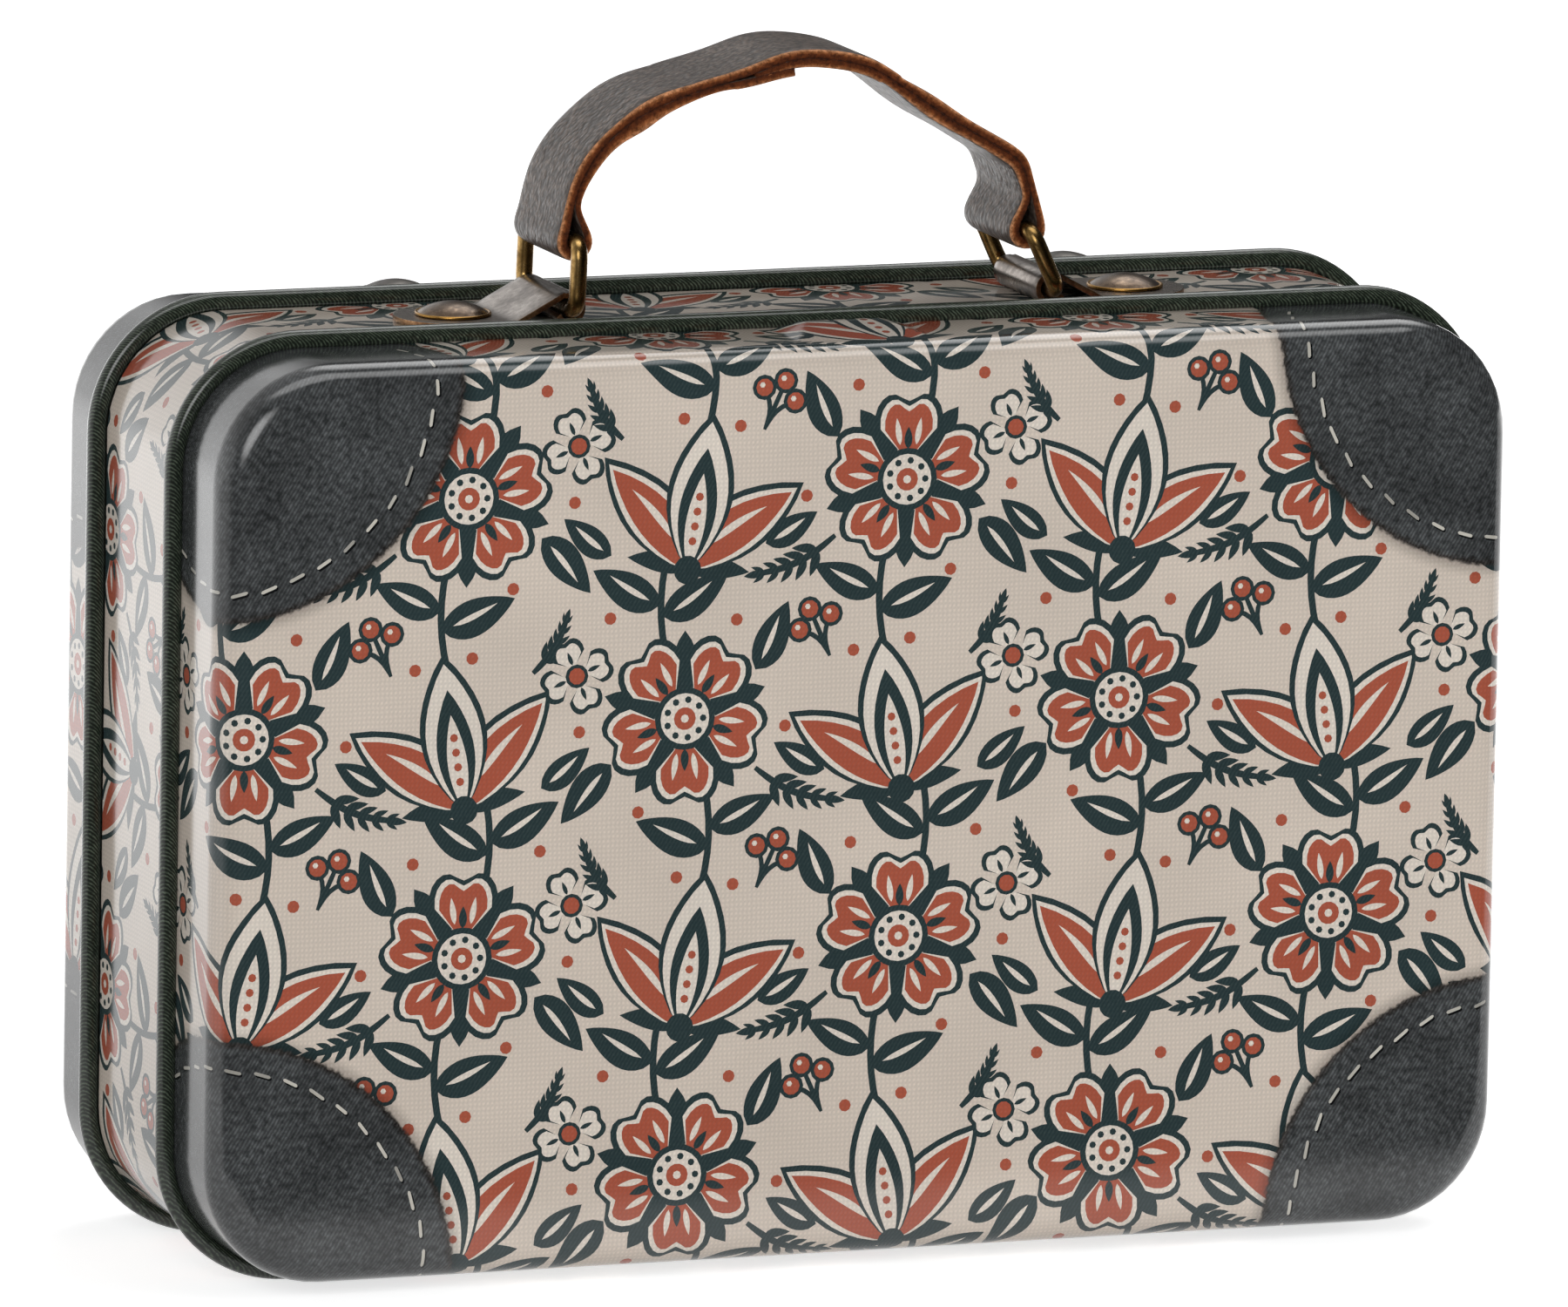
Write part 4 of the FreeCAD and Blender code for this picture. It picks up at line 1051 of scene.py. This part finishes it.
makeBracket("bracket_left", -1)
makeBracket("bracket_right", 1)

# Rivets: one turned cap, set on its places by a node tree
rivetForm = {
    "radius": 4.5, "height": 1.6, "rim": 0.42, "places": 42.0, "rearPlace": 20.0, "bracketSeat": 110.6,
    "coverSeat": 110.0, "segments": 48, "domeSteps": 12, "domeFoot": 0.85, "domeFullness": 0.8,
    "rimSteps": 8, "rimStart": 150, "rimTurn": 240, "rimGap": 0.06, "rimWidth": 0.92,
}


def turnedMesh(name, profile, segments):
    # the profile starts and ends on the axis
    points = [(0.0, 0.0, profile[0][1])]
    for radius, z in profile[1:-1]:
        points += [polar(0.0, 0.0, 2 * math.pi * k / segments, radius) + (z,) for k in range(segments)]
    points.append((0.0, 0.0, profile[-1][1]))
    last = len(points) - 1
    ring = last - segments
    faces = [[0, 1 + k, 1 + (k + 1) % segments] for k in range(segments)]
    faces += gridFaces(len(profile) - 2, segments, first=1, flip=True)
    faces += [[ring + (k + 1) % segments, last, ring + k] for k in range(segments)]
    return editMesh(plainMesh(name, points, faces), faceOutward)


def capProfile():
    f = rivetForm
    dome, foot = f["radius"] - f["rim"], f["rim"] * f["domeFoot"]
    profile = [(0.0, f["height"])]
    for k in range(1, f["domeSteps"] + 1):
        t = k / f["domeSteps"]
        rise = math.cos(t * math.pi / 2) ** f["domeFullness"]
        profile.append((dome * t, foot + (f["height"] - foot) * rise))
    for k in range(f["rimSteps"] + 1):
        turn = math.radians(f["rimStart"] - f["rimTurn"] * k / f["rimSteps"])
        profile.append((dome + f["rimGap"] + f["rim"] / 2 * (1 + math.cos(turn)) * f["rimWidth"],
                        f["rim"] / 2 * (1 + math.sin(turn))))
    return profile + [(0.0, 0.0)]


def markRim(mesh):
    # the turned edge below the dome is rubbed to bare brass
    dome, rim = (rivetForm["radius"] - rivetForm["rim"]) * mm, rivetForm["rim"] * mm
    marks = [float(face.center.xy.length > dome and face.center.z < rim) for face in mesh.polygons]
    addAttribute(mesh, "rimMask", "FACE", marks)
    return mesh


capMesh = markRim(turnedMesh("rivetCapModel", capProfile(), rivetForm["segments"]))
capModel = newObject("rivetCapModel", capMesh)
# the handle caps get their brass, the cover caps the grey of their painted reflection
for name, y, seat, metal in (("handle_rivet_caps", 0.0, rivetForm["bracketSeat"], rivetMetal),
                             ("cover_rivet_caps", rivetForm["rearPlace"], rivetForm["coverSeat"], greyReflectionCap)):
    places = [(side * rivetForm["places"], y, seat) for side in (-1, 1)]
    caps = newObject(name + "_domes", plainMesh(name, places, []))
    attach(applyTree(caps, rivetNodes, {"Rivet": capModel, "Metal": metal}), "case", name)
bpy.data.objects.remove(capModel)
print("rivets set")

# Handle strap: one leather strip folded back round both rings, its tails under the top layer
strapForm = {
    "width": 15.5, "thickness": 1.12, "gap": 0.02, "loop": 1.2, "tailEnd": -2.6, "rightTail": -8.0,
    "tailRise": 3.6, "topRise": 1.5, "tuck": 0.9, "tuckPlace": -11.5, "tuckReach": 8.0, "step": 0.45,
    "rounds": 4, "leftLoop": (20, -191, -15), "rightLoop": (10, -201, -15), "across": 16, "overhang": 1.045,
    "sides": [(1.03, 0.8), (1.045, 0.45), (1.045, -0.1), (1.045, -0.6)], "edgeThin": 0.16,
    "edgeFrom": 0.86, "edgeWave": 0.28, "waves": 6, "wavePitch": (0.55, 0.25), "waveTotal": 2.2,
    "fray": 0.07, "swell": 0.22, "swellPitch": (0.52, 0.31), "crownHeight": 137.5, "crownSwell": 0.2,
    "bulge": 0.75, "bulgePlace": -22.0, "bulgeReach": 2.8, "backShift": 40, "seed": 3,
}
# top face of the strap, left ring to right ring
strapTop = [
    (-31.6, 119.6), (-31.4, 123.0), (-30.1, 127.4), (-27.0, 131.8), (-22.3, 135.4), (-16.1, 137.8),
    (-9.4, 139.6), (-3.6, 141.35), (1.6, 141.35), (7.0, 140.1), (12.0, 137.1), (17.6, 133.4),
    (22.8, 130.4), (26.3, 128.0), (27.6, 124.9), (28.6, 121.2), (28.9, 118.6),
]


def smoothLine(points, count):
    line = []
    last = len(points) - 1
    for k in range(count + 1):
        place = min(k / count * last, last - 1e-9)
        i = int(place)
        t = place - i
        p0, p1, p2, p3 = (Vector(points[min(max(i + j, 0), last)]) for j in (-1, 0, 1, 2))
        line.append(0.5 * ((2 * p1) + (p2 - p0) * t + (2 * p0 - 5 * p1 + 4 * p2 - p3) * t * t
                           + (3 * p1 - p0 - 3 * p2 + p3) * t ** 3))
    return line


def wayAt(line, k):
    return (line[min(k + 1, len(line) - 1)] - line[max(k - 1, 0)]).normalized()


def offsetLine(line, inward):
    ways = [wayAt(line, k) for k in range(len(line))]
    return [point + Vector((way.y, -way.x)) * inward for point, way in zip(line, ways)]


def evenLine(line, step):
    lengths = [0.0]
    for a, b in zip(line, line[1:]):
        lengths.append(lengths[-1] + (b - a).length)
    count = max(2, int(lengths[-1] / step))
    even, i = [], 0
    for k in range(count + 1):
        wanted = lengths[-1] * k / count
        while i < len(line) - 2 and lengths[i + 1] < wanted:
            i += 1
        span = lengths[i + 1] - lengths[i] or 1.0
        even.append(line[i].lerp(line[i + 1], min(1.0, (wanted - lengths[i]) / span)))
    return even


def strapMiddle():
    f = strapForm
    top = smoothLine(strapTop, 160)
    outer = offsetLine(top, f["thickness"] / 2)
    inner = offsetLine(top, 1.5 * f["thickness"] + f["gap"])
    left = Vector(ringPlace(-1, ringForm["leftTilt"], ringForm["length"]))
    right = Vector(ringPlace(1, ringForm["rightTilt"], ringForm["length"]))
    leftTail = [p for p in inner if p.x < f["tailEnd"] and p.y > left.y + f["tailRise"]]
    rightTail = [p for p in inner if p.x > f["rightTail"] and (p.x <= 0 or p.y > right.y + f["tailRise"])]
    # the right tail tucks in between the top layer and the left tail
    tucks = [f["tuck"] * limited((p.x - f["tuckPlace"]) / f["tuckReach"]) for p in leftTail]
    lowered = [p - Vector((0.0, tuck)) for p, tuck in zip(leftTail, tucks)]
    over = [p for p in outer if p.y > (left if p.x < 0 else right).y + f["topRise"]]
    radius = f["loop"] + f["thickness"] / 2
    leftArc, rightArc = ([centre + Vector(polar(0.0, 0.0, math.radians(a), radius)) for a in range(*turns)]
                         for centre, turns in ((left, f["leftLoop"]), (right, f["rightLoop"])))
    line = evenLine(lowered[::-1] + leftArc + over + rightArc + rightTail[::-1], f["step"])
    for _ in range(f["rounds"]):
        line = [line[0]] + [(a + 2 * b + c) / 4 for a, b, c in zip(line, line[1:], line[2:])] + [line[-1]]
    return evenLine(line, f["step"])


def makeStrap():
    f = strapForm
    rng = random.Random(f["seed"])
    phases = [(rng.uniform(0.25, 0.9), rng.uniform(0, 6.3), rng.uniform(0.3, 1.0)) for _ in range(f["waves"])]

    def wave(x, z, shift):
        # the cut edge wanders a little, alike in both layers
        place = x * f["wavePitch"][0] + z * f["wavePitch"][1]
        return f["edgeWave"] * sum(a * math.sin(k * place + p + shift) for k, p, a in phases) / f["waveTotal"]

    line = strapMiddle()
    half, thick = f["width"] / 2, f["thickness"] / 2
    across = f["across"]
    section = [(2 * k / across - 1, 1.0) for k in range(across + 1)] + f["sides"]
    section += [(f["overhang"] * (1 - 2 * k / across), -1.0) for k in range(across + 1)]
    section += [(-w, t) for w, t in f["sides"][::-1]]
    count = len(section)
    points, along, through = [], [], []
    travelled = 0.0
    for n, p in enumerate(line):
        way = wayAt(line, n)
        normal = Vector((-way.y, way.x))
        travelled += (p - line[n - 1]).length if n else 0.0
        for w, t in section:
            edge = half + wave(p.x, p.y, 0.0 if w < 0 else 2.0)
            if abs(w) > 1:
                edge += rng.uniform(-f["fray"], f["fray"])
            # the grain side rounds off at the edges and swells a little, the flesh sides lie flat together
            beyond = max(0.0, abs(w) - f["edgeFrom"]) / (1 - f["edgeFrom"])
            thin = 1 - f["edgeThin"] * beyond if t > 0 else 1.0
            ripple = math.sin(travelled * f["swellPitch"][0]) + math.sin(travelled * f["swellPitch"][1] + 1.0)
            swell = f["swell"] * max(t, 0.0) * ripple / 2
            swell *= 1.0 if p.y < f["crownHeight"] else f["crownSwell"]
            if way.x < 0 and t > 0 and p.x < 0:
                # the left tail bulges where it leaves its loop
                swell += f["bulge"] * t * math.exp(-((p.x - f["bulgePlace"]) / f["bulgeReach"]) ** 2)
            spot = p + normal * (t * thick * thin + swell)
            points.append((spot.x, edge * w / f["overhang"], spot.y))
            along.append((travelled, edge * w))
            through.append(t)
    rows = len(line)
    backStart, backEnd = across + len(f["sides"]) + 1, 2 * across + len(f["sides"]) + 1
    faces = gridFaces(rows, count, flip=True)
    marks = [int(across <= k < backStart or k >= backEnd) for _ in range(rows - 1) for k in range(count)]
    faces += [list(range(count)), list(range((rows - 1) * count, rows * count))[::-1]]
    mesh = plainMesh("strap_leather", points, faces)
    mesh.polygons.foreach_set("material_index", marks + [1, 1])
    values = []
    for face in mesh.polygons:
        for index in face.vertices:
            u, v = along[index]
            turn = index % count
            # the back layer of the section gets its own stretch of the map
            if turn > across:
                v += f["backShift"] if backStart <= turn <= backEnd else through[index]
            values += [u * mm, v * mm]
    mesh.uv_layers.new(name="strapMap").data.foreach_set("uv", values)
    addAttribute(mesh, "throughLayer", "POINT", [0.4 + 0.4 * t for t in through])
    strap = newObject("strap_leather", editMesh(mesh, faceOutward), [grainLeather, edgeLeather])
    attach(strap, "strap", "handle_strap")
    print("strap has", len(faces), "faces")


makeStrap()

# CAD nodes that stay as they are
for name in ("hinge_pin", "handle_rivet_bases", "cover_rivet_bases"):
    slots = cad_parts[name].data.materials
    slots.clear()
    slots.append(plainSteel)

# Camera from the photograph: long lens, left of the lid and a little above
cameraForm = {
    "place": (-866.55, -2314.08, 515.27), "turn": (1.73234793, -0.29722819, 0.27497554), "lens": 490.4,
    "sensor": 36.0, "reach": 50.0,
}


def makeCamera():
    data = bpy.data.cameras.new("photoCamera")
    data.sensor_fit = "HORIZONTAL"
    data.sensor_width = cameraForm["sensor"]
    data.lens = cameraForm["lens"]
    data.clip_end = cameraForm["reach"]
    turn = Vector(cameraForm["turn"])
    right, down, forward = Matrix.Rotation(turn.length, 3, turn.normalized())
    matrix = Matrix((right, -down, -forward)).transposed().to_4x4()
    matrix.translation = Vector(cameraForm["place"]) * mm
    camera = newObject("photoCamera", data)
    camera.matrix_world = matrix
    bpy.context.scene.camera = camera


makeCamera()

# White studio: a pale floor, soft lamps, and a surround that the varnish and metal reflect
studioForm = {
    "floorHalf": 3.0, "floorFront": -0.075, "floorBack": 4.0, "floorColour": "#F2F2F2", "floorGlow": 0.68,
    "floorSheen": 1.15, "surround": 0.5, "zenith": 0.12, "front": 0.04, "left": 1.9, "right": 0.08,
    "upper": 0.45, "ceiling": 4.0, "lampCore": 0.15, "target": (0, 0, 0.06),
    "lamps": [("keySoftbox", (-1.0, -1.6, 0.8), 1.5, 47.0), ("fillSoftbox", (1.3, -1.3, 0.5), 1.4, 32.0),
              ("topSoftbox", (0.75, 1.05, 1.7), 1.7, 36.0)],
}


def makeFloor():
    f = studioForm
    material, tree = newMaterial("paperFloor")
    ray = addNode(tree, "ShaderNodeLightPath").outputs
    seen = addNode(tree, "ShaderNodeMath", {0: ray["Is Camera Ray"], 1: ray["Is Glossy Ray"]},
                   operation="MAXIMUM")
    seenAll = addNode(tree, "ShaderNodeMath", {0: seen, 1: ray["Is Transmission Ray"]}, operation="MAXIMUM")
    glow = addNode(tree, "ShaderNodeMath", {0: seenAll, 1: f["floorGlow"]}, operation="MULTIPLY")
    # the sweep behind the case mirrors brighter in varnish and leather than the floor beside it
    place = addNode(tree, "ShaderNodeNewGeometry").outputs["Position"]
    depth = addNode(tree, "ShaderNodeSeparateXYZ", {0: place}).outputs[1]
    sheen = addNode(tree, "ShaderNodeMapRange", {0: depth, 1: 0.0, 2: 0.4, 3: 0.0, 4: f["floorSheen"]},
                    interpolation_type="SMOOTHSTEP")
    bright = addNode(tree, "ShaderNodeMath", {0: sheen, 1: ray["Is Glossy Ray"], 2: glow},
                     operation="MULTIPLY_ADD")
    paper = addNode(tree, "ShaderNodeBsdfDiffuse", {"Color": linearColour(f["floorColour"])})
    light = addNode(tree, "ShaderNodeEmission", {"Color": (1, 1, 1, 1), "Strength": bright})
    both = addNode(tree, "ShaderNodeAddShader", {0: paper, 1: light})
    addNode(tree, "ShaderNodeOutputMaterial", {"Surface": both})
    half, front, back = (f[side] / mm for side in ("floorHalf", "floorFront", "floorBack"))
    places = [(-half, front, 0), (half, front, 0), (half, back, 0), (-half, back, 0)]
    newObject("floor", plainMesh("floor", places, [[0, 1, 2, 3]], False), [material])


def makeWorld():
    f = studioForm
    world = bpy.data.worlds.new("studio")
    bpy.context.scene.world = world
    world.use_nodes = True
    tree = world.node_tree
    tree.nodes.clear()
    ray = addNode(tree, "ShaderNodeLightPath").outputs
    mirrored = addNode(tree, "ShaderNodeMath", {0: ray["Is Glossy Ray"], 1: ray["Is Transmission Ray"]},
                       operation="MAXIMUM")
    way = addNode(tree, "ShaderNodeTexCoord").outputs["Generated"]
    x, y, z = addNode(tree, "ShaderNodeSeparateXYZ", {0: way}).outputs
    # the room is dark in front of the lid, round the camera
    room = addNode(tree, "ShaderNodeMapRange", {0: y, 1: -0.6, 2: 0.1, 3: f["front"], 4: 1.0})
    # and dimmer on the right and higher up: the white sweep is brightest at the back on the left
    side = addNode(tree, "ShaderNodeMapRange", {0: x, 1: 0.02, 2: 0.36, 3: f["left"], 4: f["right"]},
                   interpolation_type="SMOOTHSTEP")
    height = addNode(tree, "ShaderNodeMapRange", {0: z, 1: 0.0, 2: 0.6, 3: 1.0, 4: f["upper"]},
                     interpolation_type="SMOOTHSTEP")
    lower = addNode(tree, "ShaderNodeMath", {0: room, 1: height}, operation="MULTIPLY")
    sweep = addNode(tree, "ShaderNodeMath", {0: lower, 1: side}, operation="MULTIPLY")
    # a small bright patch overhead draws the light line along the curled rims and the lid's top edge
    overhead = addNode(tree, "ShaderNodeMapRange", {0: z, 1: 0.84, 2: 0.92, 3: 0.0, 4: f["ceiling"]},
                       interpolation_type="SMOOTHSTEP")
    forward = addNode(tree, "ShaderNodeMapRange", {0: y, 1: -0.08, 2: 0.12, 3: 1.0, 4: 0.0},
                      interpolation_type="SMOOTHSTEP")
    patch = addNode(tree, "ShaderNodeMath", {0: overhead, 1: forward}, operation="MULTIPLY")
    shown = addNode(tree, "ShaderNodeMath", {0: sweep, 1: patch}, operation="MAXIMUM")
    # little other light comes from straight above, so that the band between the rims lies in shade
    soft = addNode(tree, "ShaderNodeMapRange", {0: z, 1: 0.1, 2: 0.8, 3: f["surround"], 4: f["zenith"]},
                   interpolation_type="SMOOTHSTEP")
    lit = addNode(tree, "ShaderNodeMix", {"Factor": mirrored, "A": soft, "B": shown})
    strength = addNode(tree, "ShaderNodeMath", {0: lit, 1: ray["Is Camera Ray"]}, operation="MAXIMUM")
    background = addNode(tree, "ShaderNodeBackground", {"Color": (1, 1, 1, 1), "Strength": strength})
    addNode(tree, "ShaderNodeOutputWorld", {"Surface": background})


def makeLamp(name, place, size, power):
    data = bpy.data.lights.new(name, "AREA")
    data.shape = "SQUARE"
    data.size = size
    data.energy = power
    data.use_nodes = True
    tree = data.node_tree
    tree.nodes.clear()
    # brightest in the middle, so that reflections have no hard edge
    spot = addNode(tree, "ShaderNodeNewGeometry").outputs["Parametric"]
    ends = {0: spot, 1: (0.5, 0.5, 0.0)}
    far = addNode(tree, "ShaderNodeVectorMath", ends, operation="DISTANCE").outputs["Value"]
    fade = addNode(tree, "ShaderNodeMapRange", {0: far, 1: studioForm["lampCore"], 2: 0.5, 3: 1.0, 4: 0.0},
                   interpolation_type="SMOOTHSTEP")
    glow = addNode(tree, "ShaderNodeEmission", {"Strength": fade})
    addNode(tree, "ShaderNodeOutputLight", {0: glow})
    lamp = newObject(name, data)
    lamp.location = place
    lamp.rotation_euler = (Vector(studioForm["target"]) - Vector(place)).to_track_quat("-Z", "Y").to_euler()
    # the fill draws no streak in the corners of the lid
    lamp.visible_glossy = name != "fillSoftbox"


makeFloor()
makeWorld()
for lampValues in studioForm["lamps"]:
    makeLamp(*lampValues)
bpy.context.scene.view_settings.view_transform = "Standard"

print("scene ready")
